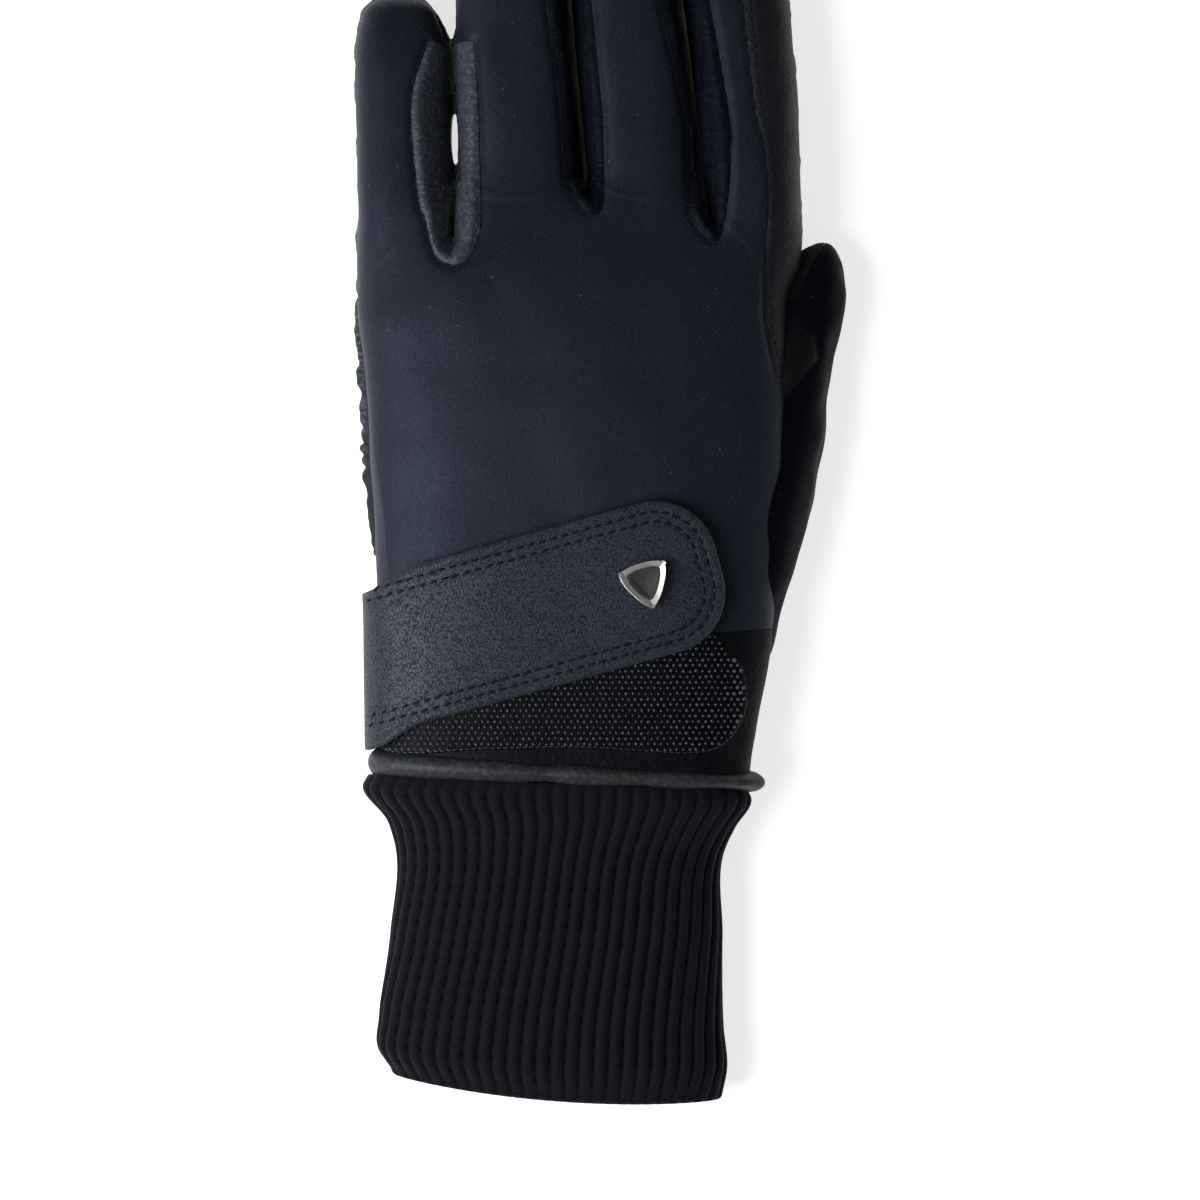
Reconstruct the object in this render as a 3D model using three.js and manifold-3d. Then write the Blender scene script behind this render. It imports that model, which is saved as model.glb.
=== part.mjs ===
// Winter riding glove for the left hand, lying on its palm with the back of the hand up.
// Softshell back, leather palm and finger gussets, wrist strap with a hook-and-loop patch, rib-knit cuff.
// +X is the thumb's side, +Y points along the fingers, and the palm lies on Z = 0. Millimetres.
import * as THREE from "three";
import { mergeVertices } from "three/addons/utils/BufferGeometryUtils.js";
import Module from "manifold-3d";

const wasm = await Module();
wasm.setup();

// Driving dimensions
const handLength = 134; // from the hem to the middle finger's crotch
const handWidth = 104; // across the knuckles
const handHeight = 31; // through the palm
const restPoint = 0.634; // share of handLength above the hem where the origin lies
const shellWall = 2; // softshell or leather with its lining
const seamGap = 0.3;
const fingerHeight = 23.5;
const fingerSlit = 1.1; // clear width between two finger roots
const littleLength = 75.5;
const ringLength = 101;
const middleLength = 107;
const indexLength = 94;
const littleWidth = 23.2;
const ringWidth = 28.4;
const middleWidth = 26.8;
const indexWidth = 25.4;
const weltWidth = 6; // leather that shows beside a finger slit
const thumbLength = 109; // from the wrist to the thumb's tip
const thumbWidth = 24;
const thumbHeight = 22;
const gatherDepth = 2.2; // how far the puckered side seam stands proud
const gatherHeight = 8;
const gatherPitch = 7; // between two puckers
const strapWidth = 36.3;
const strapReach = 87; // from the little finger's side to the strap's end
const strapThickness = 2.1;
const strapCorner = 14.5;
const strapAngle = 15.5; // degrees above the X axis
const strapTail = 30; // how far the strap runs in under the palm
const patchThickness = 1.5;
const badgeSize = 12;
const badgeThickness = 1.6;
const badgeRim = 1.5;
const badgeInset = 18; // from the strap's end to the badge's centre
const pipingDepth = 4.4; // across the roll, in and out
const pipingHeight = 4.9; // along the hand, on the little finger's side
const cuffLength = 78;
const cuffHeight = 25;
const cuffWall = 2.6;
const ribCount = 54;
const ribDepth = 0.7;
const thinnestHalf = 0.8; // least half width of the hollow in a fingertip

const strapSeat = patchThickness + 2 * seamGap; // strap's underside above the hand's back
const bedRise = strapThickness + 2 * seamGap; // room for the strap's tail under the wrist
const along = (share) => (share - restPoint) * handLength;
const across = (share) => (share * handWidth) / 2;
const hemY = along(0);

// Sections of the palm, from the hem to the finger roots. at: share of handLength. left, right: shares of
// half of handWidth. top: share of handHeight. bed: share of bedRise by which the underside is lifted.
const palmRows = [
  { at: -0.06, left: -0.876, right: 0.78, top: 0.82, bed: 1 },
  { at: 0.007, left: -0.88, right: 0.8, top: 0.83, bed: 1 },
  { at: 0.2, left: -0.886, right: 0.87, top: 0.89, bed: 1 },
  { at: 0.3, left: -0.89, right: 0.9, top: 0.92, bed: 1 },
  { at: 0.36, left: -0.9, right: 0.925, top: 0.94, bed: 0.6 },
  { at: 0.425, left: -0.905, right: 0.938, top: 0.965, bed: 0 },
  { at: 0.537, left: -0.926, right: 0.955, top: 0.99, bed: 0 },
  { at: 0.672, left: -0.945, right: 0.95, top: 1, bed: 0 },
  { at: 0.806, left: -0.98, right: 0.985, top: 0.98, bed: 0 },
  { at: 0.918, left: -0.99, right: 0.995, top: 0.9, bed: 0 },
  { at: 0.978, left: -0.98, right: 0.985, top: 0.8, bed: 0 },
  { at: 1.022, left: -0.95, right: 0.96, top: 0.6, bed: 0 },
];

// One finger's sections, from its root inside the palm to its tip. at: share of the finger's length.
// width, top, bed: shares of the finger's width and height.
const fingerRows = [
  { at: 0, width: 0.84, top: 1, bed: 0.06 },
  { at: 0.14, width: 0.98, top: 1.07, bed: 0 },
  { at: 0.42, width: 0.99, top: 1, bed: 0 },
  { at: 0.62, width: 0.93, top: 0.95, bed: 0 },
  { at: 0.8, width: 0.85, top: 0.88, bed: 0 },
  { at: 0.9, width: 0.74, top: 0.8, bed: 0 },
  { at: 0.965, width: 0.55, top: 0.68, bed: 0.05 },
  { at: 1, width: 0.26, top: 0.48, bed: 0.17 },
];
const fingerRoot = 0.8; // share of handLength where the finger tubes start
// root, tip: the finger's middle as shares of half of handWidth. bow: sideways bend, as a share of the same.
const fingers = {
  little: { length: littleLength, width: littleWidth, root: -0.77, tip: -0.804, bow: 0.015 },
  ring: { length: ringLength, width: ringWidth, root: -0.24, tip: -0.317, bow: 0.013 },
  middle: { length: middleLength, width: middleWidth, root: 0.337, tip: 0.173, bow: 0.01 },
  index: { length: indexLength, width: indexWidth, root: 0.79, tip: 0.68, bow: 0.035 },
};

// Slits between fingers. crotch, end: [share of handLength, share of half of handWidth]. welt: sections of
// the leather gusset up the slit, up as a share of its finger's length, sides as shares of weltWidth.
const slits = {
  ring_little: {
    finger: "little",
    crotch: [0.918, -0.538],
    end: [1.4, -0.575],
    welt: [
      { up: -0.08, left: 0.35, right: 0.2 },
      { up: -0.062, left: 0.75, right: 0.5 },
      { up: -0.013, left: 1, right: 0.82 },
      { up: 0.06, left: 1.17, right: 1 },
      { up: 0.137, left: 1.42, right: 1 },
      { up: 0.42, left: 1.6, right: 1 },
      { up: 0.62, left: 0.9, right: 0.9 },
    ],
  },
  middle_ring: {
    finger: "ring",
    crotch: [1.003, 0.059],
    end: [1.52, -0.08],
    welt: [
      { up: -0.055, left: 0.1, right: 0.35 },
      { up: -0.026, left: 0.52, right: 0.55 },
      { up: 0.033, left: 0.8, right: 0.67 },
      { up: 0.108, left: 0.78, right: 0.78 },
      { up: 0.21, left: 0.7, right: 0.87 },
      { up: 0.62, left: 0.9, right: 0.9 },
    ],
  },
  index_middle: {
    finger: "index",
    crotch: [0.951, 0.619],
    end: [1.5, 0.42],
    welt: [
      { up: -0.045, left: 0.3, right: 0.25 },
      { up: 0.01, left: 0.78, right: 0.55 },
      { up: 0.094, left: 0.67, right: 0.9 },
      { up: 0.176, left: 0.55, right: 1.1 },
      { up: 0.26, left: 0.4, right: 1.25 },
      { up: 0.62, left: 0.9, right: 1.1 },
    ],
  },
};

// Sections of the thumb from the wrist to its tip. at: share of thumbLength. middle: share of half of
// handWidth. width, top, bed: shares of thumbWidth and thumbHeight.
const thumbRows = [
  { at: 0, middle: 0.577, width: 0.92, top: 0.85, bed: 0.3 },
  { at: 0.128, middle: 0.615, width: 1.19, top: 0.94, bed: 0.24 },
  { at: 0.257, middle: 0.696, width: 1.15, top: 1, bed: 0.14 },
  { at: 0.394, middle: 0.788, width: 1.15, top: 1, bed: 0 },
  { at: 0.523, middle: 0.865, width: 1.05, top: 0.97, bed: 0 },
  { at: 0.743, middle: 0.965, width: 0.867, top: 0.88, bed: 0 },
  { at: 0.862, middle: 1.038, width: 0.81, top: 0.82, bed: 0 },
  { at: 0.936, middle: 1.088, width: 0.6, top: 0.7, bed: 0.05 },
  { at: 0.977, middle: 1.131, width: 0.38, top: 0.56, bed: 0.14 },
  { at: 1, middle: 1.158, width: 0.17, top: 0.44, bed: 0.24 },
];
const thumbStart = 0.097; // share of handLength

// Seam of the back panel on the index side, from the fingertip to the fold over the thumb.
const indexSeam = [
  [1.6, 0.66],
  [1.4, 0.74],
  [1.16, 0.809],
  [1.083, 0.852],
  [0.99, 0.872],
  [0.813, 0.852],
  [0.734, 0.872],
  [0.675, 0.913],
];
const sideSeam = 0.42; // share of the local height where back and palm meet along the side
const thumbSeam = 0.2625; // share of thumbHeight where the thumb's leather underside ends
const wristSeam = { left: 0.19, right: 0.235 }; // shares of handLength

// Outline of the loop patch as shares, from its lower left corner round the right end.
const patchOutline = [
  [0.018, -0.79],
  [0.02, -0.4],
  [0.023, 0],
  [0.016, 0.32],
  [0.012, 0.5],
  [0.024, 0.66],
  [0.075, 0.764],
  [0.14, 0.778],
  [0.19, 0.72],
  [0.235, 0.6],
  [0.255, 0.45],
  [0.17, -0.3],
  [0.11, -0.79],
];

// Leather of the thumb that faces the index finger, and the small triangle below it.
const thumbFrontSeam = [
  [0.93, 1.165],
  [0.9, 1.115],
  [0.86, 1.06],
  [0.815, 1.01],
];
const gussetTriangle = [
  [0.755, 0.9],
  [0.772, 0.972],
  [0.752, 1.1],
  [0.71, 1.11],
  [0.625, 0.93],
];

// Lines of the piping, as shares of handLength, where it meets the two sides of the hem.
const pipingLine = { left: -0.003, right: -0.042 };
const pipingSlim = 0.55; // height on the thumb's side, as a share of pipingHeight
const pipingTuck = 0.6; // share of the roll's half depth by which it sits inside the hand's outline

// Sections of the cuff, from the hem to its lower edge. at: share of cuffLength. left, right: shares of
// half of handWidth. top, bed: shares of cuffHeight. swell: how much of the ribs' relief shows.
const cuffRows = [
  { at: 0, left: -0.93, right: 0.77, top: 1, bed: 0.06, swell: 0.3 },
  { at: 0.035, left: -0.955, right: 0.79, top: 1.02, bed: 0.04, swell: 0.7 },
  { at: 0.155, left: -0.845, right: 0.715, top: 0.96, bed: 0, swell: 1 },
  { at: 0.22, left: -0.815, right: 0.675, top: 0.92, bed: 0, swell: 1 },
  { at: 0.52, left: -0.832, right: 0.66, top: 0.88, bed: 0, swell: 1 },
  { at: 0.8, left: -0.884, right: 0.664, top: 0.86, bed: 0, swell: 1 },
  { at: 0.93, left: -0.885, right: 0.68, top: 0.83, bed: 0.01, swell: 1 },
  { at: 1, left: -0.83, right: 0.66, top: 0.74, bed: 0.07, swell: 0.4 },
];
const cuffEdgeDip = { middle: 0.1, lean: 0.05 }; // of cuffLength: how far the lower edge bows out
const ribTwist = -2.1; // ribs by which the cuff turns from hem to edge
// The cuff's smooth hollow follows these rows of cuffRows, and runs out at these shares of cuffLength.
const cuffBore = { rows: [1, 2, 4, 6], above: -0.2, below: 1.3 };

// Gathered leather on the little finger's side. first, last: shares of handLength. crease: share of the
// depth lost between two puckers. runOut: how bluntly the gathers fade at the ends.
const gathers = { first: 0.36, last: 0.82, crease: 0.35, ends: 0.06, runOut: 0.4 };

// How square the sections are: 2 is an ellipse.
const squareness = { palm: 2.7, finger: 2.3, thumb: 2.2, gathers: 2, cuff: 2.5 };
const bedCurve = 1.12; // depth of the rounded underside before the table flattens it, as a share
const tipWall = 1.2; // shellWalls at a fingertip's end

// One side of the badge's shield, from a corner round to the next. turn: radians. reach: shares of badgeSize.
const shieldSide = [
  { turn: 0, reach: 0.58 },
  { turn: 0.5, reach: 0.455 },
  { turn: 1.05, reach: 0.4 },
  { turn: 1.6, reach: 0.455 },
];
const shieldLean = -164; // degrees by which the shield's point turns away from straight up

const colours = {
  softshell: 0x1c222c,
  leather: 0x23262c,
  strapLeather: 0x2f3642,
  loop: 0x0e1014,
  metal: 0xb9b6b2,
  enamel: 0x1a1c20,
  knit: 0x14171f,
};

// One closed ring of points in a plane across the hand, flattened where it lies on the table.
function ring({ y, left, right, top, bed }, grow, sides, square) {
  const middle = (left + right) / 2;
  const half = (right - left) / 2 + grow.side;
  const waist = bed + (top - bed) * sideSeam;
  const floor = bed - grow.bed;
  const points = [];
  for (let i = 0; i < sides; i++) {
    const turn = (i / sides) * 2 * Math.PI;
    const bulge = (v) => Math.sign(v) * Math.abs(v) ** (2 / square);
    const rise = bulge(Math.sin(turn));
    const up = rise > 0 ? top - waist + grow.top : (waist - floor) * bedCurve;
    const x = middle + half * bulge(Math.cos(turn));
    points.push(new THREE.Vector3(x, y, Math.max(waist + up * rise, floor)));
  }
  return points;
}

// A closed solid through rings of equally many points that follow each other along +Y.
function loft(rings) {
  const sides = rings[0].length;
  const positions = rings.flat().flatMap((p) => [p.x, p.y, p.z]);
  const faces = [];
  const at = (row, i) => row * sides + (i % sides);
  for (let row = 0; row + 1 < rings.length; row++) {
    for (let i = 0; i < sides; i++) {
      faces.push(at(row, i), at(row + 1, i), at(row + 1, i + 1));
      faces.push(at(row, i), at(row + 1, i + 1), at(row, i + 1));
    }
  }
  for (const row of [0, rings.length - 1]) {
    const hub = positions.length / 3;
    const centre = rings[row].reduce((sum, p) => sum.add(p), new THREE.Vector3()).divideScalar(sides);
    positions.push(centre.x, centre.y, centre.z);
    for (let i = 0; i < sides; i++) {
      if (row === 0) faces.push(hub, at(row, i), at(row, i + 1));
      else faces.push(hub, at(row, i + 1), at(row, i));
    }
  }
  const geometry = new THREE.BufferGeometry();
  geometry.setAttribute("position", new THREE.Float32BufferAttribute(positions, 3));
  geometry.setIndex(faces);
  return solid(geometry);
}

function solid(geometry) {
  geometry.deleteAttribute("normal");
  geometry.deleteAttribute("uv");
  const merged = mergeVertices(geometry, 1e-4);
  return new wasm.Manifold(
    new wasm.Mesh({
      numProp: 3,
      vertProperties: new Float32Array(merged.attributes.position.array),
      triVerts: new Uint32Array(merged.index.array),
    }),
  );
}

// An upright block over an outline of [x, y] points. grow moves its walls outwards.
function block(outline, low, high, grow = 0) {
  const turned = THREE.ShapeUtils.isClockWise(outline.map(([x, y]) => new THREE.Vector2(x, y)));
  const points = turned ? [...outline].reverse() : outline;
  const moved = points.map(([x, y], i) => {
    const [beforeX, beforeY] = points.at(i - 1);
    const [afterX, afterY] = points[(i + 1) % points.length];
    const into = new THREE.Vector2(x - beforeX, y - beforeY).normalize();
    const out = new THREE.Vector2(afterX - x, afterY - y).normalize();
    const normal = new THREE.Vector2(into.y + out.y, -into.x - out.x).normalize();
    const miter = grow / Math.max(0.5, normal.x * into.y - normal.y * into.x);
    return new THREE.Vector2(x + normal.x * miter, y + normal.y * miter);
  });
  const geometry = new THREE.ExtrudeGeometry(new THREE.Shape(moved), {
    depth: high - low,
    bevelEnabled: false,
  });
  geometry.translate(0, 0, low);
  return solid(geometry);
}

const placed = (shares) => shares.map(([at, side]) => [across(side), along(at)]);
const smooth = (points, steps) =>
  new THREE.SplineCurve(points.map(([x, y]) => new THREE.Vector2(x, y)))
    .getPoints(steps)
    .map((p) => [p.x, p.y]);

const same = (size) => ({ side: size, top: size, bed: size });
const far = 400; // beyond every side of the glove
const overhead = 80; // above every piece
const palmSides = 30;
const fingerSides = 16;
const thumbSides = 18;
const gatherSides = 6;
const pipingSides = 40;
const pipingRound = 6; // sides of the piping's own roll
const perRib = 2; // points across one rib
const cuffSides = 200; // points of the smooth line that the ribs are spaced along
const boreSides = 32;
const liningShare = 0.67; // sides of a lining as a share of its shell's

// Palm and fingers as one body, grown or shrunk.
function palmBody(grow, sides = palmSides) {
  return loft(
    palmRows.map((row) =>
      ring(
        {
          y: along(row.at) + (row.at < 0 ? Math.min(grow.side, 0) : 0),
          left: across(row.left),
          right: across(row.right),
          top: row.top * handHeight,
          bed: row.bed * bedRise,
        },
        grow,
        sides,
        squareness.palm,
      ),
    ),
  );
}

function fingerBody(finger, grow, sides = fingerSides) {
  const length = finger.length + Math.min(grow.side, 0) * tipWall;
  return loft(
    fingerRows.map((row) => {
      const bowed = finger.bow * 4 * row.at * (1 - row.at);
      const middle = across(finger.root + (finger.tip - finger.root) * row.at + bowed);
      const half = (row.width * finger.width) / 2;
      return ring(
        {
          y: along(fingerRoot) + row.at * length,
          left: middle - half,
          right: middle + half,
          top: row.top * fingerHeight,
          bed: row.bed * fingerHeight,
        },
        { ...grow, side: Math.max(grow.side, thinnestHalf - half) },
        sides,
        squareness.finger,
      );
    }),
  );
}

function slitPoint(slit, up) {
  const [foot, end] = placed([slit.crotch, slit.end]);
  const run = Math.hypot(end[0] - foot[0], end[1] - foot[1]);
  return [foot[0] + ((end[0] - foot[0]) * up) / run, foot[1] + ((end[1] - foot[1]) * up) / run];
}

// The cut between two fingers, from its crotch out past the fingertips.
function slitCut(slit, grow) {
  const [footX, footY] = slitPoint(slit, -grow);
  const [endX, endY] = slitPoint(slit, 2 * handLength);
  const half = fingerSlit / 2 + grow;
  return block(
    [
      [footX - half, footY + half],
      [footX, footY],
      [footX + half, footY + half],
      [endX + half, endY],
      [endX - half, endY],
    ],
    -overhead,
    overhead,
  );
}

function handBody(grow, finesse = 1) {
  let body = palmBody(grow, 2 * Math.round((palmSides * finesse) / 2));
  for (const finger of Object.values(fingers)) {
    body = body.add(fingerBody(finger, grow, 2 * Math.round((fingerSides * finesse) / 2)));
  }
  for (const slit of Object.values(slits)) {
    body = body.subtract(slitCut(slit, Math.max(0, -grow.side)));
  }
  return body;
}

function thumbBody(grow, sides = thumbSides) {
  const start = along(thumbStart);
  const length = thumbLength + Math.min(grow.side, 0) * tipWall;
  return loft(
    thumbRows.map((row) => {
      const half = (row.width * thumbWidth) / 2;
      return ring(
        {
          y: start + row.at * length,
          left: across(row.middle) - half,
          right: across(row.middle) + half,
          top: row.top * thumbHeight,
          bed: row.bed * thumbHeight,
        },
        { ...grow, side: Math.max(grow.side, thinnestHalf - half) },
        sides,
        squareness.thumb,
      );
    }),
  );
}

const lining = same(-shellWall);
const handInside = handBody(lining, liningShare);
const thumbInside = thumbBody(lining, 2 * Math.round((thumbSides * liningShare) / 2));
const pipingY = (x) => {
  const share = (x / across(1) + 1) / 2;
  return along(pipingLine.left + (pipingLine.right - pipingLine.left) * share);
};
const pipingHalf = (x) => (pipingHeight / 2) * (1 + ((pipingSlim - 1) * (x / across(1) + 1)) / 2);

// Everything below the hem, which the piping and the cuff take over.
const hemCut = block(
  [
    [-far, pipingY(-across(1)) + pipingHalf(-across(1)) + seamGap],
    [-across(1), pipingY(-across(1)) + pipingHalf(-across(1)) + seamGap],
    [across(1), pipingY(across(1)) + pipingHalf(across(1)) + seamGap],
    [far, pipingY(across(1)) + pipingHalf(across(1)) + seamGap],
    [far, -far],
    [-far, -far],
  ],
  -overhead,
  overhead,
);
const handShell = handBody(same(0)).subtract(handInside).subtract(thumbInside).subtract(hemCut);

// Blocks that part the shell into its panels. grow widens a block, for the seam gap of its neighbours.
const seamHeight = sideSeam * handHeight;
const thumbSeamHeight = thumbSeam * thumbHeight;

function backBlock(grow) {
  const seam = placed(indexSeam);
  const [foldX, foldY] = seam.at(-1);
  return block(
    [
      [-far, far],
      [seam[0][0], far],
      ...seam,
      [foldX + handWidth / 4, foldY],
      [far, foldY],
      [far, along(wristSeam.right)],
      [across(1), along(wristSeam.right)],
      [-across(1), along(wristSeam.left)],
      [-far, along(wristSeam.left)],
    ],
    seamHeight - grow,
    overhead,
    grow,
  );
}

function wristBlock(grow) {
  return block(
    [
      [-far, along(wristSeam.left) - seamGap],
      [-across(1), along(wristSeam.left) - seamGap],
      [across(1), along(wristSeam.right) - seamGap],
      [far, along(wristSeam.right) - seamGap],
      [far, -far],
      [-far, -far],
    ],
    seamHeight - grow,
    overhead,
    grow,
  );
}

function weltBlock(slit, grow) {
  const length = fingers[slit.finger].length;
  const side = (row, which) => {
    const [x, y] = slitPoint(slit, row.up * length);
    return [x + (which === "left" ? -1 : 1) * row[which] * weltWidth, y];
  };
  return block(
    [...slit.welt.map((row) => side(row, "left")), ...slit.welt.map((row) => side(row, "right")).reverse()],
    seamHeight / 2 - grow,
    overhead,
    grow,
  );
}

const fourchettes = Object.entries(slits).map(([name, slit]) => [
  "fourchette_" + name,
  handShell.intersect(weltBlock(slit, 0)),
]);
let backPanel = handShell.intersect(backBlock(0));
let palmPanel = handShell.subtract(backBlock(seamGap)).subtract(wristBlock(seamGap));
for (const slit of Object.values(slits)) {
  backPanel = backPanel.subtract(weltBlock(slit, seamGap));
  palmPanel = palmPanel.subtract(weltBlock(slit, seamGap));
}
const wristPanel = handShell.intersect(wristBlock(0));

// The palm leather gathered along the seam on the little finger's side.
function gatheredEdge() {
  const { first, last } = gathers;
  const run = (last - first) * handLength;
  const puckers = Math.round(run / gatherPitch);
  const steps = puckers * 2;
  const rings = [];
  for (let i = 0; i <= steps; i++) {
    const at = first + ((last - first) * i) / steps;
    const next = palmRows.findIndex((row) => row.at > at);
    const [low, high] = [palmRows[next - 1], palmRows[next]];
    const mix = (at - low.at) / (high.at - low.at);
    const edge = across(low.left + (high.left - low.left) * mix);
    const fade = Math.sin(Math.PI * Math.min(1, Math.max(gathers.ends, i / steps))) ** gathers.runOut;
    const pucker = 1 - (gathers.crease * (1 + Math.cos((2 * Math.PI * i * puckers) / steps))) / 2;
    const depth = gatherDepth * fade * pucker;
    rings.push(
      ring(
        {
          y: along(at),
          left: edge - depth,
          right: edge + shellWall / 2,
          top: seamHeight - seamGap,
          bed: seamHeight - seamGap - gatherHeight * fade,
        },
        same(0),
        gatherSides,
        squareness.gathers,
      ),
    );
  }
  return loft(rings);
}
palmPanel = palmPanel.add(gatheredEdge());

// The thumb, outside the hand, in its leather and softshell parts.
const thumbShell = thumbBody(same(0))
  .subtract(palmBody(same(seamGap)))
  .subtract(fingerBody(fingers.index, same(seamGap)))
  .subtract(gatheredEdge())
  .subtract(thumbInside)
  .subtract(handInside)
  .subtract(hemCut);

function thumbFrontBlock(grow) {
  const seam = placed(thumbFrontSeam);
  const [lastX, lastY] = seam.at(-1);
  const inner = lastX - thumbWidth;
  const outline = [[seam[0][0], far], ...seam, [inner, lastY], [inner, far]];
  const everywhere = [[-far, -far], [far, -far], [far, far], [-far, far]];
  const under = block(everywhere, -overhead, thumbSeamHeight + grow);
  return block(outline, 0, overhead, grow).add(under);
}

function gussetBlock(grow) {
  return block(placed(gussetTriangle), thumbSeamHeight - grow, overhead, grow);
}
const thumbFront = thumbShell.intersect(thumbFrontBlock(0));
const thumbGusset = thumbShell.intersect(gussetBlock(0)).subtract(thumbFrontBlock(seamGap));
const thumbBack = thumbShell.subtract(thumbFrontBlock(seamGap)).subtract(gussetBlock(seamGap));

// A layer that follows the hand's back at a named height over it.
function layer(seat, thickness) {
  const lower = palmBody({ side: seat, top: seat, bed: seamGap });
  const upper = palmBody({ side: seat + thickness, top: seat + thickness, bed: seamGap + thickness });
  return upper.subtract(lower);
}

// The strap in its own frame: u runs from the little finger's side to the rounded end, v across it.
const strapFoot = [across(-0.962), along(0.178)];
const strapTurn = THREE.MathUtils.degToRad(strapAngle);
const strapPoint = (u, v) => [
  strapFoot[0] + u * Math.cos(strapTurn) - v * Math.sin(strapTurn),
  strapFoot[1] + u * Math.sin(strapTurn) + v * Math.cos(strapTurn),
];

function strapOutline() {
  const half = strapWidth / 2;
  const corner = Math.min(strapCorner, half);
  const outline = [strapPoint(-handWidth / 4, half)];
  for (const side of [1, -1]) {
    for (let i = 0; i <= 6; i++) {
      const turn = ((side > 0 ? 6 - i : i) / 6) * (Math.PI / 2);
      outline.push(
        strapPoint(
          strapReach - corner + corner * Math.cos(turn),
          side * (half - corner + corner * Math.sin(turn)),
        ),
      );
    }
  }
  outline.push(strapPoint(-handWidth / 4, -half));
  return outline;
}

function wristStrap() {
  const over = block(strapOutline(), seamHeight - strapThickness, overhead);
  const edgeX = strapFoot[0] + strapSeat + strapThickness;
  const [top, bottom] = [strapPoint(0, strapWidth / 2)[1], strapPoint(0, -strapWidth / 2)[1]];
  const under = block(
    [
      [edgeX - handWidth / 4, top + (handWidth / 4) * Math.sin(strapTurn)],
      [edgeX, top],
      [edgeX + strapTail, top - strapTail * Math.sin(strapTurn)],
      [edgeX + strapTail, bottom],
      [edgeX, bottom],
      [edgeX - handWidth / 4, bottom],
    ],
    -overhead,
    seamHeight,
  );
  return layer(strapSeat, strapThickness).intersect(over.add(under));
}

const patchEdge = smooth(placed([...patchOutline, patchOutline[0]]), 36).slice(0, -1);
const patchBlock = block(patchEdge, seamHeight, overhead);
const loopPatch = layer(seamGap, patchThickness).intersect(patchBlock);

// The shield on the strap: a metal rim round a plain recessed field.
const badgePlace = strapPoint(strapReach - badgeInset, 0);

function shieldBlock(size, low, high) {
  const outline = [];
  for (let side = 0; side < 3; side++) {
    const from = (side * 2 * Math.PI) / 3 + Math.PI / 2 + THREE.MathUtils.degToRad(shieldLean);
    for (const { turn, reach } of shieldSide) {
      outline.push([
        badgePlace[0] + Math.cos(from + turn) * reach * size,
        badgePlace[1] + Math.sin(from + turn) * reach * size,
      ]);
    }
  }
  return block(outline, low, high);
}
const underBadge = wristStrap().intersect(shieldBlock(badgeSize, -overhead, overhead));
const badgeSeat = underBadge.boundingBox().max[2] + seamGap;
const badgeFieldSize = badgeSize - 2 * badgeRim;
const badgeRimSolid = shieldBlock(badgeSize, badgeSeat, badgeSeat + badgeThickness).subtract(
  shieldBlock(badgeFieldSize, 0, overhead),
);
const badgeField = shieldBlock(badgeFieldSize - 2 * seamGap, badgeSeat, badgeSeat + badgeThickness / 2);

// The rolled piping round the hem.
function hemPiping() {
  const sides = pipingSides;
  const hem = palmRows[1];
  const path = ring(
    {
      y: hemY,
      left: across(hem.left),
      right: across(hem.right),
      top: hem.top * handHeight,
      bed: hem.bed * bedRise,
    },
    same(0),
    sides,
    squareness.palm,
  );
  const middle = new THREE.Vector3((path[0].x + path[sides / 2].x) / 2, 0, (hem.top * handHeight) / 2);
  const positions = [];
  const faces = [];
  const around = pipingRound;
  path.forEach((p, i) => {
    const tangent = path[(i + 1) % sides].clone().sub(path.at(i - 1)).normalize();
    const outward = new THREE.Vector3(tangent.z, 0, -tangent.x);
    if (outward.dot(p.clone().sub(middle)) < 0) outward.negate();
    for (let j = 0; j < around; j++) {
      const turn = (j / around) * 2 * Math.PI;
      const out = (pipingDepth / 2) * (Math.cos(turn) - pipingTuck);
      positions.push(
        p.x + outward.x * out,
        pipingY(p.x) + pipingHalf(p.x) * Math.sin(turn),
        Math.max(0, p.z + outward.z * out),
      );
    }
    for (let j = 0; j < around; j++) {
      const [a, b] = [i * around + j, i * around + ((j + 1) % around)];
      const [c, d] = [a, b].map((k) => (k + around) % (sides * around));
      faces.push(a, b, d, a, d, c);
    }
  });
  const geometry = new THREE.BufferGeometry();
  geometry.setAttribute("position", new THREE.Float32BufferAttribute(positions, 3));
  geometry.setIndex(faces);
  return solid(geometry);
}

// Points at equal steps round a ring, so that every rib is as wide as the next.
function evenly(points, count, first = 0) {
  const lengths = [0];
  points.forEach((p, i) => lengths.push(lengths.at(-1) + p.distanceTo(points[(i + 1) % points.length])));
  const total = lengths.at(-1);
  return Array.from({ length: count }, (_, i) => {
    const want = THREE.MathUtils.euclideanModulo((i + first) / count, 1) * total;
    const next = lengths.findIndex((l) => l > want);
    const [from, to] = [points[next - 1], points[next % points.length]];
    return from.clone().lerp(to, (want - lengths[next - 1]) / (lengths[next] - lengths[next - 1]));
  });
}

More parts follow.
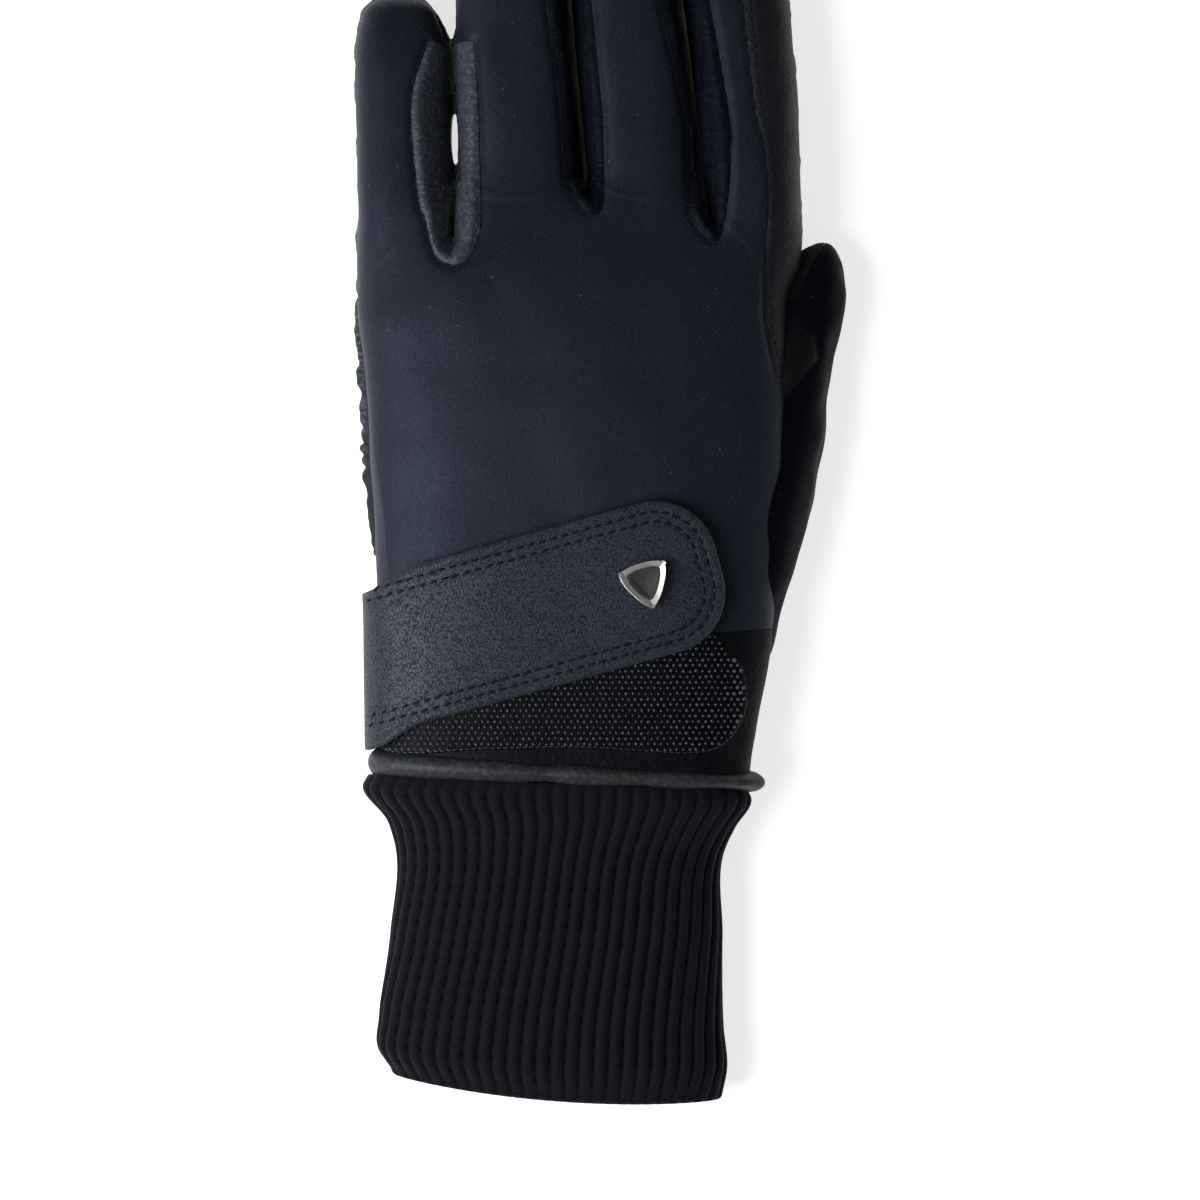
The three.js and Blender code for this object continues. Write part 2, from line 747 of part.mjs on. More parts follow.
function ribCuff() {
  const section = (row, inset, count, ribbed) => {
    const top = hemY + handLength * pipingLine.left;
    const flat = ring(
      {
        y: 0,
        left: across(row.left),
        right: across(row.right),
        top: row.top * cuffHeight,
        bed: row.bed * cuffHeight,
      },
      same(-inset),
      cuffSides,
      squareness.cuff,
    );
    const points = evenly(flat, count, ribbed ? row.at * ribTwist * perRib : 0);
    const centre = new THREE.Vector3(across((row.left + row.right) / 2), 0, (row.top * cuffHeight) / 2);
    return points.map((p, i) => {
      const valley = ribbed && i % perRib === 0 ? ribDepth * row.swell : 0;
      const inward = centre.clone().sub(p).setX((centre.x - p.x) / 4).normalize();
      const moved = p.clone().addScaledVector(inward, valley);
      const side = (moved.x - centre.x) / across(1);
      const hemEnd = pipingY(moved.x) - pipingHalf(moved.x) - seamGap - top;
      const dip = cuffLength * (cuffEdgeDip.middle * side ** 2 - cuffEdgeDip.lean * side);
      moved.y = top - row.at * cuffLength + (1 - row.at) ** 3 * hemEnd + row.at ** 4 * dip;
      return moved;
    });
  };
  const outer = loft(cuffRows.map((row) => section(row, 0, ribCount * perRib, true)).reverse());
  const followed = cuffBore.rows.map((i) => cuffRows[i]);
  const bore = [
    { ...cuffRows[0], at: cuffBore.above },
    ...followed,
    { ...followed.at(-1), at: cuffBore.below },
  ];
  const inner = loft(bore.map((row) => section(row, cuffWall, boreSides, false)).reverse());
  return outer.subtract(inner);
}

const glove = new THREE.Group();

function add(name, body, color, roughness, metalness = 0) {
  const made = body.getMesh();
  const geometry = new THREE.BufferGeometry();
  geometry.setAttribute("position", new THREE.Float32BufferAttribute(made.vertProperties, 3));
  geometry.setIndex(new THREE.Uint32BufferAttribute(made.triVerts, 1));
  const mesh = new THREE.Mesh(geometry, new THREE.MeshStandardMaterial({ color, roughness, metalness }));
  mesh.name = name;
  glove.add(mesh);
}

add("back_panel", backPanel, colours.softshell, 0.8);
add("palm_panel", palmPanel, colours.leather, 0.55);
for (const [name, body] of fourchettes) add(name, body, colours.leather, 0.5);
add("thumb_back", thumbBack, colours.softshell, 0.8);
add("thumb_front", thumbFront, colours.leather, 0.55);
add("thumb_gusset", thumbGusset, colours.leather, 0.5);
add("wrist_panel", wristPanel, colours.leather, 0.5);
add("loop_patch", loopPatch, colours.loop, 0.6);
add("wrist_strap", wristStrap(), colours.strapLeather, 0.5);
add("badge_rim", badgeRimSolid, colours.metal, 0.25, 1);
add("badge_field", badgeField, colours.enamel, 0.4);
add("hem_piping", hemPiping(), colours.leather, 0.5);
add("rib_cuff", ribCuff(), colours.knit, 0.9);

export default glove;
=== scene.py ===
# Winter riding glove for the left hand, lying on its palm. Lengths are in metres.
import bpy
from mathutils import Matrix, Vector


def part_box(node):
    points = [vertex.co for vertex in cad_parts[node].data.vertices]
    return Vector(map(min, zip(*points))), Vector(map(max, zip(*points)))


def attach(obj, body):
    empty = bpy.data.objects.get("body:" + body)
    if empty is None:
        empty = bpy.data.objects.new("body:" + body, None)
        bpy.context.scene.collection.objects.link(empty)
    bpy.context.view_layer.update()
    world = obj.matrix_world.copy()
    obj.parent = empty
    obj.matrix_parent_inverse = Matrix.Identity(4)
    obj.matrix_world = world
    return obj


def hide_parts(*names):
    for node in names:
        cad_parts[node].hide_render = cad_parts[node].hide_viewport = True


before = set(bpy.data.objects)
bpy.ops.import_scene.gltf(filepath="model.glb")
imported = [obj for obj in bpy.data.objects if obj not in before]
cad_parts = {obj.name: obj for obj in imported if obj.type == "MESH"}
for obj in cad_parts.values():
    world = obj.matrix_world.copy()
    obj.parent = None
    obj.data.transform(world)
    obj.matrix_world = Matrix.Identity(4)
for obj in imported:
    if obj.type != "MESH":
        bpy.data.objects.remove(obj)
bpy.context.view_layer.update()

import math

import bmesh
import bpy
import numpy as np
from mathutils import Matrix, Vector
from mathutils.bvhtree import BVHTree

# The hand. Palm and four fingers are one padded form, which the panels below are cut from. It is
# flattened where it lies on the table, and its inside is a lining that follows it two millimetres in.
MM = 0.001
hand_length = 134 * MM
hand_width = 104 * MM
hand_height = 31 * MM
rest_point = 0.634
shell_wall = 2 * MM
seam_gap = 0.3 * MM
side_seam = 0.42
seam_height = side_seam * hand_height
bed_curve = 1.12
bed_rise = 2.7 * MM
finger_root = 0.8
finger_height = 23.5 * MM
finger_slit = 1.1 * MM
tip_wall = 1.2 * shell_wall
thinnest_half = 0.8 * MM
squareness = {"palm": 2.7, "finger": 2.9, "thumb": 2.2, "cuff": 2.5}
cloth_grid = 0.62 * MM
lining_grid = 1.2 * MM
far = 0.4
overhead = 0.08

# at: share of the hand's length. left, right: shares of half its width. top: share of its height.
# bed: share of the room that the strap's tail needs under the wrist.
palm_rows = [
    dict(at=-0.06, left=-0.876, right=0.78, top=0.82, bed=1),
    dict(at=0.007, left=-0.88, right=0.8, top=0.83, bed=1),
    dict(at=0.2, left=-0.886, right=0.87, top=0.89, bed=1),
    dict(at=0.3, left=-0.89, right=0.9, top=0.92, bed=1),
    dict(at=0.36, left=-0.9, right=0.925, top=0.94, bed=0.6),
    dict(at=0.425, left=-0.905, right=0.938, top=0.965, bed=0),
    dict(at=0.537, left=-0.926, right=0.955, top=0.99, bed=0),
    dict(at=0.672, left=-0.945, right=0.95, top=1, bed=0),
    dict(at=0.806, left=-0.98, right=0.955, top=0.98, bed=0),
    dict(at=0.918, left=-0.99, right=0.96, top=0.88, bed=0),
    dict(at=0.978, left=-0.98, right=0.965, top=0.8, bed=0),
    dict(at=1.022, left=-0.95, right=0.96, top=0.71, bed=0),
]
# at: share of the finger's length. width, top, bed: shares of its width and height.
finger_rows = [
    dict(at=0, width=0.8, top=0.88, bed=0.06),
    dict(at=0.14, width=0.98, top=0.98, bed=0),
    dict(at=0.28, width=0.99, top=1.03, bed=0),
    dict(at=0.42, width=0.99, top=1.01, bed=0),
    dict(at=0.62, width=0.97, top=0.95, bed=0),
    dict(at=0.8, width=0.92, top=0.88, bed=0),
    dict(at=0.9, width=0.8, top=0.8, bed=0),
    dict(at=0.965, width=0.6, top=0.68, bed=0.05),
    dict(at=1, width=0.28, top=0.48, bed=0.17),
]
# root, tip, bow: the finger's middle and its sideways bend, as shares of half the hand's width.
fingers = {
    "little": dict(length=75.5 * MM, width=23.2 * MM, root=-0.77, tip=-0.804, bow=0.015),
    "ring": dict(length=101 * MM, width=28.4 * MM, root=-0.24, tip=-0.317, bow=0.013),
    "middle": dict(length=107 * MM, width=26.8 * MM, root=0.337, tip=0.173, bow=0.01),
    "index": dict(length=94 * MM, width=25.4 * MM, root=0.765, tip=0.7, bow=0.035),
}


def along(share):
    return (share - rest_point) * hand_length


def across(share):
    return share * hand_width / 2


def column(rows, name, at):
    """One column of a table at any shares, on a smooth curve through its rows."""
    known = np.array([row["at"] for row in rows])
    values = np.array([row[name] for row in rows], float)
    slopes = np.gradient(values, known)
    at = np.clip(at, known[0], known[-1])
    i = np.clip(np.searchsorted(known, at) - 1, 0, len(rows) - 2)
    step = known[i + 1] - known[i]
    t = (at - known[i]) / step
    start = (1 + 2 * t) * (1 - t) ** 2 * values[i] + t * (1 - t) ** 2 * step * slopes[i]
    return start + t * t * (3 - 2 * t) * values[i + 1] + t * t * (t - 1) * step * slopes[i + 1]


def section(turn, left, right, top, bed, square, grow, sink=None):
    """Points of a flattened round section, grown all round, or by sink below. turn goes round from 0 to 1."""
    sink = grow if sink is None else sink
    angle = 2 * np.pi * turn
    swing = np.sign(np.cos(angle)) * np.abs(np.cos(angle)) ** (2 / square)
    rise = np.sign(np.sin(angle)) * np.abs(np.sin(angle)) ** (2 / square)
    waist = bed + (top - bed) * side_seam
    x = (left + right) / 2 + ((right - left) / 2 + grow) * swing
    z = waist + rise * np.where(rise > 0, top - waist + grow, (waist - bed + sink) * bed_curve)
    return x, np.maximum(z, bed - sink)


def palm_point(turn, share, grow=0.0, sink=None):
    at = palm_rows[0]["at"] + (palm_rows[-1]["at"] - palm_rows[0]["at"]) * share
    left, right, top, bed = (column(palm_rows, name, at) for name in ("left", "right", "top", "bed"))
    x, z = section(turn, across(left), across(right), top * hand_height, bed * bed_rise,
                   squareness["palm"], grow, sink)
    return x, along(at) + min(grow, 0) * (share < 0.01), z


def finger_point(finger, turn, share, grow=0.0, sink=None):
    width, top, bed = (column(finger_rows, name, share) for name in ("width", "top", "bed"))
    lean = finger["root"] + (finger["tip"] - finger["root"]) * share
    middle = across(lean + finger["bow"] * 4 * share * (1 - share))
    half = width * finger["width"] / 2
    x, z = section(turn, middle - half, middle + half, top * finger_height, bed * finger_height,
                   squareness["finger"], np.maximum(grow, thinnest_half - half), sink)
    length = finger["length"] + min(grow, 0) * tip_wall / shell_wall
    return x, along(finger_root) + share * length, z


def wrapped(form, place, around, rows, weave=None):
    """A tube added to a form. place gives its points for two shares: round it, and along it."""
    made = bmesh.ops.create_grid(form, x_segments=around, y_segments=rows, size=0.5)["verts"]
    shares = np.array([vert.co for vert in made]) + 0.5
    points = np.stack(place(shares[:, 0], shares[:, 1]), axis=-1)
    if weave:
        layer = form.loops.layers.uv.verify()
        threads = weave(shares[:, 0], shares[:, 1])
        for vert, u, v in zip(made, *threads):
            for loop in vert.link_loops:
                loop[layer].uv = (u, v)
    for vert, point in zip(made, points):
        vert.co = point
    bmesh.ops.remove_doubles(form, verts=made, dist=1e-6)
    bmesh.ops.holes_fill(form, edges=form.edges, sides=0)
    bmesh.ops.recalc_face_normals(form, faces=form.faces)


def finished(form, name="form"):
    mesh = bpy.data.meshes.new(name)
    form.to_mesh(mesh)
    form.free()
    return mesh


def with_modifiers(mesh, *changes):
    """The mesh that a row of modifiers makes of another, each given as its kind and its settings."""
    carrier = bpy.data.objects.new("carrier", mesh)
    bpy.context.collection.objects.link(carrier)
    for kind, settings in changes:
        modifier = carrier.modifiers.new(kind, kind)
        for name, value in settings.items():
            setattr(modifier, name, value)
    graph = bpy.context.evaluated_depsgraph_get()
    made = bpy.data.meshes.new_from_object(carrier.evaluated_get(graph))
    bpy.data.objects.remove(carrier)
    return made


def even_cloth(mesh, grid, rounds=6):
    """The outside of overlapping closed forms as one even net of points, eased."""
    return with_modifiers(
        mesh,
        ("REMESH", dict(mode="VOXEL", voxel_size=grid, use_smooth_shade=True)),
        ("SMOOTH", dict(factor=0.5, iterations=rounds)),
    )


def carved(mesh, tool, operation="DIFFERENCE"):
    """A closed form without another one, or only where both are."""
    knife = bpy.data.objects.new("knife", tool)
    bpy.context.collection.objects.link(knife)
    made = with_modifiers(mesh, ("BOOLEAN", dict(operation=operation, solver="MANIFOLD", object=knife)))
    bpy.data.objects.remove(knife)
    return made


def hand_form(grow, around, rows):
    """The palm and the fingers. grow moves the walls outwards, and only inwards at the table."""
    form = bmesh.new()
    wrapped(form, lambda u, v: palm_point(u, v, grow, min(grow, 0)), around * 2, rows)
    for finger in fingers.values():
        wrapped(form, lambda u, v: finger_point(finger, u, v, grow, min(grow, 0)), around, rows)
    return finished(form)


ease = 0.8 * MM
hand = even_cloth(hand_form(ease, around=96, rows=96), cloth_grid, rounds=12)
hand_inside = even_cloth(hand_form(-shell_wall, around=48, rows=48), lining_grid, rounds=3)


# The seams. Each finger slit has a leather gusset sewn in on both sides, which rolls over beside the
# slit. A long seam runs down the index finger's side, and one goes round the hand at half its height.
slit_depth_fade = 12 * MM
seam_sink = 0.75 * MM
side_sink = 0.35 * MM
seam_spread = 1.1 * MM
welt_width = 6 * MM
welt_reach = 2.2 * welt_width
welt_blend = 1.5 * MM
welt_fullness = 0.8
welt_creases = dict(depth=0.07 * MM, size=1.2 * MM, stretch=(0.5, 1.6, 1))
slit_lean = -7 * MM
# crotch, end: shares of the hand's length and of half its width. Each welt row has up, a share of the
# finger's length above the crotch, and left and right, shares of welt_width. drop: how deep the leather
# falls towards the slit on each side, and bend: how late it does so.
slits = {
    "ring_little": dict(
        finger="little", crotch=(0.918, -0.538), end=(1.4, -0.575),
        drop=(6 * MM, 4.5 * MM), bend=(1.3, 3), roll=(0.9 * MM, 0.9 * MM), crest=(0.85, 0.55),
        peep=dict(first=18.5 * MM, last=31.5 * MM, width=1.9 * MM),
        welt=[
            dict(up=-0.083, left=0.25, right=0.1), dict(up=-0.06, left=0.75, right=0.5),
            dict(up=-0.013, left=1, right=0.82), dict(up=0.06, left=1.17, right=1),
            dict(up=0.137, left=1.42, right=1), dict(up=0.42, left=1.6, right=1),
            dict(up=0.62, left=0.9, right=0.9),
        ],
    ),
    "middle_ring": dict(
        finger="ring", crotch=(1.003, 0.059), end=(1.52, -0.08),
        drop=(3 * MM, 3.5 * MM), bend=(2.2, 1.6), roll=(0.8 * MM, 0.4 * MM), crest=(0.6, 0.6),
        welt=[
            dict(up=-0.055, left=0.1, right=0.3), dict(up=-0.03, left=0.52, right=0.55),
            dict(up=0.033, left=0.8, right=0.67), dict(up=0.108, left=0.78, right=0.78),
            dict(up=0.21, left=0.7, right=0.87), dict(up=0.62, left=0.9, right=0.9),
        ],
    ),
    "index_middle": dict(
        finger="index", crotch=(0.951, 0.619), end=(1.5, 0.42),
        drop=(3 * MM, 4 * MM), bend=(2.2, 1.5), roll=(0.8 * MM, 0.4 * MM), crest=(0.6, 0.6),
        welt=[
            dict(up=-0.048, left=0.2, right=0.2), dict(up=0.01, left=0.78, right=0.55),
            dict(up=0.094, left=0.67, right=0.9), dict(up=0.176, left=0.55, right=1.1),
            dict(up=0.26, left=0.4, right=1.25), dict(up=0.62, left=0.9, right=1.1),
        ],
    ),
}
index_seam_shares = [
    (1.6, 0.66), (1.4, 0.74), (1.16, 0.809), (1.083, 0.852),
    (0.99, 0.872), (0.813, 0.852), (0.734, 0.872), (0.675, 0.913),
]
wrist_seam = dict(left=0.19, right=0.235)


def placed(shares):
    """Places seen from above, from shares of the hand's length and of half its width."""
    return [(across(side), along(at)) for at, side in shares]


def curve(points, steps, closed=False):
    """A smooth line through points, steps to each stretch."""
    p = np.array(points, float)
    ends = (p[-1:], p[:1], p[1:2]) if closed else (2 * p[:1] - p[1:2], 2 * p[-1:] - p[-2:-1], p[:0])
    p = np.concatenate([ends[0], p, ends[1], ends[2]])
    line = []
    for a, b, c, d in zip(p, p[1:], p[2:], p[3:]):
        for t in np.arange(steps) / steps:
            line.append(((2 * b) + (c - a) * t + (2 * a - 5 * b + 4 * c - d) * t**2
                         + (3 * b - a - 3 * c + d) * t**3) / 2)
    return np.array(line if closed else [*line, p[-2]])


def distance(plan, line):
    """How far points lie from a line of straight runs, seen from above."""
    best = np.full(len(plan), np.inf)
    for a, b in zip(line, line[1:]):
        run = b - a
        t = np.clip((plan - a) @ run / (run @ run), 0, 1)
        best = np.minimum(best, np.hypot(*(plan - a - t[:, None] * run).T))
    return best


def within(plan, outline):
    """Which points lie inside a closed outline, seen from above."""
    inside = np.zeros(len(plan), bool)
    x, y = plan.T
    for (ax, ay), (bx, by) in zip(outline, np.roll(outline, -1, axis=0)):
        crosses = (ay > y) != (by > y)
        inside ^= crosses & (x < ax + (bx - ax) * (y - ay) / (by - ay + 1e-12))
    return inside


def slit_frame(slit):
    foot, end = (np.array(point) for point in placed([slit["crotch"], slit["end"]]))
    return foot, (end - foot) / np.linalg.norm(end - foot)


def welt_outline(slit):
    """The gusset's edge as it shows from above, from the left limb's top round the crotch to the right's."""
    foot, up = slit_frame(slit)
    length = fingers[slit["finger"]]["length"]
    left, right = ([foot + up * row["up"] * length + (side * row[name] * welt_width, 0)
                    for row in slit["welt"]] for side, name in ((-1, "left"), (1, "right")))
    return curve(left[::-1] + right, 8)


def rippled(points, size, seed=0):
    """Smooth uneven heights between about -1 and 1, with bumps of a given size."""
    ways = np.random.default_rng(seed)
    total = np.zeros(len(points))
    for _ in range(9):
        way = ways.normal(size=3)
        way *= ways.uniform(0.6, 1.5) * np.pi / np.linalg.norm(way)
        total += np.sin(points @ (way / size) + ways.uniform(0, 2 * np.pi))
    return total / 3


def wavy(points, waves):
    """The unevenness that a table of waves gives together."""
    return sum(wave["depth"] * rippled(points, wave["size"], wave["seed"]) for wave in waves)


def bell(away, height, width):
    """A soft ridge or furrow: its height at a distance from its middle."""
    return height * np.exp(-((away / width) ** 2))


fill_reach = 1.7 * MM
palm_slope = 0.5
index_seam = curve(placed(index_seam_shares), 10)
index_furrow = dict(height=-0.55 * MM, width=0.8 * MM)
index_row_inset = 1.7 * MM
index_row_furrow = dict(height=-0.18 * MM, width=0.6 * MM)
gathers = dict(first=0.36, last=0.82, depth=2.6 * MM, height=8 * MM, pitch=7 * MM, crease=0.3, sharpness=6,
               drift=0.8, drift_size=13 * MM, crinkle=0.12, crinkle_size=2.2 * MM)
# depth, size: how high and how wide the uneven places are. seed: which random pattern they follow.
cloth_waves = [dict(depth=0.35 * MM, size=26 * MM, seed=0), dict(depth=0.12 * MM, size=9 * MM, seed=7)]
leather_waves = [dict(depth=0.25 * MM, size=5 * MM, seed=3), dict(depth=0.12 * MM, size=2 * MM, seed=5)]


def crown(x, left, right, top, bed, square):
    """How high a flattened round section stands at x."""
    waist = bed + (top - bed) * side_seam
    aside = np.clip(np.abs(x - (left + right) / 2) / ((right - left) / 2 + ease), 0, 1)
    return waist + (top - waist + ease) * (1 - aside**square) ** (1 / square) - (aside >= 1) * overhead


def filled(plan):
    """How far the padding fills the hollow where the palm's back meets the fingers'."""
    x, y = plan.T
    at = y / hand_length + rest_point
    left, right, top = (column(palm_rows, name, at) for name in ("left", "right", "top"))
    palm = crown(x, across(left), across(right), top * hand_height, 0, squareness["palm"])
    palm -= palm_slope * np.clip(y - along(palm_rows[-1]["at"]), 0, None)
    tubes = np.full(len(x), -overhead)
    for finger in fingers.values():
        share = (y - along(finger_root)) / finger["length"]
        width, top = (column(finger_rows, name, share) for name in ("width", "top"))
        middle = across(finger["root"] + (finger["tip"] - finger["root"]) * share
                        + finger["bow"] * 4 * share * (1 - share))
        half = width * finger["width"] / 2
        tube = crown(x, middle - half, middle + half, top * finger_height, 0, squareness["finger"])
        tubes = np.maximum(tubes, tube - (share > 1) * overhead)
    return fill_reach * np.log1p(np.exp(-np.abs(palm - tubes) / fill_reach))


def fallen(points, normals):
    """How the leather rolls down into the finger slits, and what it does beside them."""
    plan = points[:, :2]
    lift, fall = np.zeros(len(points)), np.zeros(len(points))
    for slit in slits.values():
        foot, up = slit_frame(slit)
        outline = welt_outline(slit)
        aside, ahead = (plan - foot) @ (up[1], -up[0]), (plan - foot) @ up
        near = np.flatnonzero((np.abs(aside) < welt_reach) & (ahead > -welt_reach)
                              & (points[:, 2] > seam_height / 2) & (normals[:, 2] > -0.2))
        aside, ahead, spot = aside[near], ahead[near], plan[near]
        reach = fingers[slit["finger"]]["length"] * slit["welt"][-1]["up"]
        edge = distance(spot, outline)
        middle = distance(spot, np.array([foot, foot + up * reach]))
        share = np.clip(middle / (middle + edge), 0, 1)
        right = np.clip(0.5 + aside / welt_blend, 0, 1)
        fade = within(spot, outline) * np.clip((reach - ahead) / slit_depth_fade, 0, 1)
        drop, bend, roll, crest = (pair[0] + (pair[1] - pair[0]) * right for pair in
                                   (slit["drop"], slit["bend"], slit["roll"], slit["crest"]))
        ridge = np.sin(np.pi * share ** (math.log(0.5) / np.log(crest))) ** welt_fullness
        creases = rippled(points[near] * welt_creases["stretch"], welt_creases["size"])
        lift[near] += fade * (roll * ridge + welt_creases["depth"] * creases)
        lift[near] += np.clip(normals[near, 2], 0, 1) * bell(edge, -seam_sink, seam_spread)
        fall[near] += fade * drop * (1 - share) ** bend
    return lift, fall


def upright(normals):
    """How far the surface stands upright, from 0 to 1."""
    return np.clip(1.4 - 2 * np.abs(normals[:, 2]), 0, 1)


def sewn(points, normals):
    """How the seams, rolls, gathers and folds move the hand's surface."""
    plan = points[:, :2]
    x, y, z = points.T
    upward = np.clip(normals[:, 2], 0, 1)
    lift, fall = fallen(points, normals)
    lift += wavy(points, cloth_waves)
    seam = distance(plan, index_seam)
    outer = x > np.interp(y, index_seam[::-1, 1], index_seam[::-1, 0])
    on_top = upward * (y > index_seam[-1, 1] - 2 * MM)
    lift += on_top * bell(seam, **index_furrow)
    lift += on_top * outer * bell(seam - index_row_inset, **index_row_furrow)
    lift += upright(normals) * bell(z - seam_height, -side_sink, seam_spread)
    leather = np.clip((seam_height - z) / (2 * MM), 0, 1)
    lift += leather * wavy(points, leather_waves)
    moved = normals * lift[:, None]
    run = np.clip((y - along(gathers["first"])) / (hand_length * (gathers["last"] - gathers["first"])), 0, 1)
    sag = np.clip((seam_height - z) / gathers["height"], 0, 1)
    wave = y / gathers["pitch"] + gathers["drift"] * rippled(points * (0, 1, 0), gathers["drift_size"], 11)
    crease = gathers["crease"] * np.abs(np.cos(np.pi * wave)) ** gathers["sharpness"]
    puff = np.sin(np.pi * run) ** 0.35 * np.sin(np.pi * sag**0.6) * (1 - crease)
    puff *= 1 + gathers["crinkle"] * rippled(points * (0.5, 1, 0.5), gathers["crinkle_size"], 2)
    moved[:, 0] -= np.clip(-1.4 * normals[:, 0], 0, 1) * (x < 0) * gathers["depth"] * puff
    moved[:, 2] += upward * (z > seam_height) * filled(plan)
    moved[:, 2] = np.maximum(moved[:, 2] - fall, -z)
    return moved


def lowered(points, normals):
    """The lining's own fall towards the slits, under the leather."""
    return np.stack([0 * points[:, 0], 0 * points[:, 0], -fallen(points, normals)[1]], axis=1)


def displaced(mesh, shift):
    """Moves a mesh's points by what shift says for their places and normals."""
    count = len(mesh.vertices)
    points, normals = np.empty(count * 3), np.empty(count * 3)
    mesh.vertices.foreach_get("co", points)
    mesh.vertices.foreach_get("normal", normals)
    points, normals = points.reshape(-1, 3), normals.reshape(-1, 3)
    mesh.vertices.foreach_set("co", (points + shift(points, normals)).ravel())
    mesh.update()
    return mesh


def prism(outline, low, high, grow=0.0, lean=0.0):
    """A block over an outline. grow moves its walls outwards, lean its top sideways."""
    p = np.array(outline, float)
    x, y = p.T
    if np.sum(x * np.roll(y, -1) - y * np.roll(x, -1)) < 0:
        p = p[::-1]
    into, out = p - np.roll(p, 1, axis=0), np.roll(p, -1, axis=0) - p
    into, out = (run / np.linalg.norm(run, axis=1)[:, None] for run in (into, out))
    side = into + out
    side = np.stack([side[:, 1], -side[:, 0]], axis=1) / np.linalg.norm(side, axis=1)[:, None]
    p = p + side * (grow / np.maximum(0.5, side[:, 0] * into[:, 1] - side[:, 1] * into[:, 0]))[:, None]
    form = bmesh.new()
    base = form.faces.new([form.verts.new((x, y, low)) for x, y in p])
    raised = bmesh.ops.extrude_face_region(form, geom=[base], use_keep_orig=True)["geom"]
    corners = [item for item in raised if isinstance(item, bmesh.types.BMVert)]
    bmesh.ops.translate(form, verts=corners, vec=(lean, 0, high - low))
    bmesh.ops.recalc_face_normals(form, faces=form.faces)
    bmesh.ops.triangulate(form, faces=form.faces)
    return finished(form)


def slit_block(slit, grow=0.0):
    """The block that parts two fingers. It leans, so that the fingers close over the table."""
    foot, up = slit_frame(slit)
    foot = foot - (slit_lean / 2, 0)
    side = np.array((up[1], -up[0])) * (finger_slit / 2 + grow)
    start, end = foot + up * finger_slit / 2, foot + up * 2 * hand_length
    outline = [start - side, foot - up * grow, start + side, end + side, end - side]
    return prism(outline, -hand_height * 0.2, hand_height * 1.2, lean=slit_lean)


def peep_block(slit, grow=0.0):
    """The lens-shaped gap through which the table shows."""
    foot, up = slit_frame(slit)
    side = np.array((up[1], -up[0]))
    turns = np.linspace(0, 2 * math.pi, 17)[:-1]
    middle = foot + up * (slit["peep"]["first"] + slit["peep"]["last"]) / 2
    reach = (slit["peep"]["last"] - slit["peep"]["first"]) / 2 + grow
    return prism([middle + up * reach * math.cos(t) + side * (slit["peep"]["width"] / 2 + grow) * math.sin(t)
                  for t in turns], -overhead, overhead)


hand = displaced(hand, sewn)
hand_inside = displaced(hand_inside, lowered)
for slit in slits.values():
    hand = carved(hand, slit_block(slit))
    hand_inside = carved(hand_inside, slit_block(slit, shell_wall))
    if "peep" in slit:
        hand = carved(hand, peep_block(slit))
        hand_inside = carved(hand_inside, peep_block(slit, shell_wall))


# Everything below the hem belongs to the piping and the cuff. The piping's line drops towards the thumb.
piping_height = 6 * MM
piping_slim = 0.55
piping_line = dict(left=-0.003, right=-0.042)


def hem_share(x):
    return (x / across(1) + 1) / 2


def piping_y(x):
    return along(piping_line["left"] + (piping_line["right"] - piping_line["left"]) * hem_share(x))


def piping_half(x):
    return piping_height / 2 * (1 + (piping_slim - 1) * hem_share(x))


def hem_edge(x):
    return piping_y(x) + piping_half(x) / 2


hem_block = prism(
    [(-far, hem_edge(-across(1))), (-across(1), hem_edge(-across(1))), (across(1), hem_edge(across(1))),
     (far, hem_edge(across(1))), (far, -far), (-far, -far)],
    -overhead, overhead,
)

# The thumb's own form, which leaves the hand beside the wrist and leans away from it.
thumb_length = 109 * MM
thumb_width = 24 * MM
thumb_height = 22 * MM
thumb_start = 0.097
thumb_ease = 0.9 * MM
# at: share of the thumb's length. middle: share of half the hand's width. width, top, bed: shares.
thumb_rows = [
    dict(at=0, middle=0.577, width=0.92, top=0.85, bed=0.3),
    dict(at=0.128, middle=0.615, width=1.19, top=0.94, bed=0.24),
    dict(at=0.257, middle=0.696, width=1.15, top=1, bed=0.14),
    dict(at=0.394, middle=0.788, width=1.15, top=1, bed=0),
    dict(at=0.523, middle=0.865, width=1.05, top=0.97, bed=0),
    dict(at=0.743, middle=0.965, width=0.867, top=0.88, bed=0),
    dict(at=0.862, middle=1.038, width=0.81, top=0.82, bed=0),
    dict(at=0.936, middle=1.083, width=0.6, top=0.7, bed=0.05),
    dict(at=0.977, middle=1.118, width=0.34, top=0.56, bed=0.14),
    dict(at=0.993, middle=1.132, width=0.18, top=0.48, bed=0.2),
    dict(at=1, middle=1.138, width=0.05, top=0.42, bed=0.26),
]
thumb_seam_height = 0.2625 * thumb_height
thumb_front_seam = curve(placed([(0.93, 1.165), (0.9, 1.115), (0.86, 1.06), (0.815, 1.01)]), 8)
gusset_outline = placed([(0.755, 0.9), (0.772, 0.972), (0.752, 1.1), (0.71, 1.11), (0.625, 0.93)])
thumb_furrow = dict(height=-0.5 * MM, width=seam_spread)
thumb_waves = [dict(depth=0.3 * MM, size=11 * MM, seed=4), dict(depth=0.14 * MM, size=4 * MM, seed=9)]


def thumb_point(turn, share, grow=0.0):
    middle, width, top, bed = (column(thumb_rows, name, share) for name in ("middle", "width", "top", "bed"))
    half = width * thumb_width / 2
    x, z = section(turn, across(middle) - half, across(middle) + half, top * thumb_height, bed * thumb_height,
                   squareness["thumb"], np.maximum(grow, thinnest_half - half), min(grow, 0))
    length = thumb_length + grow * tip_wall / shell_wall
    return x, along(thumb_start) + share * length, z


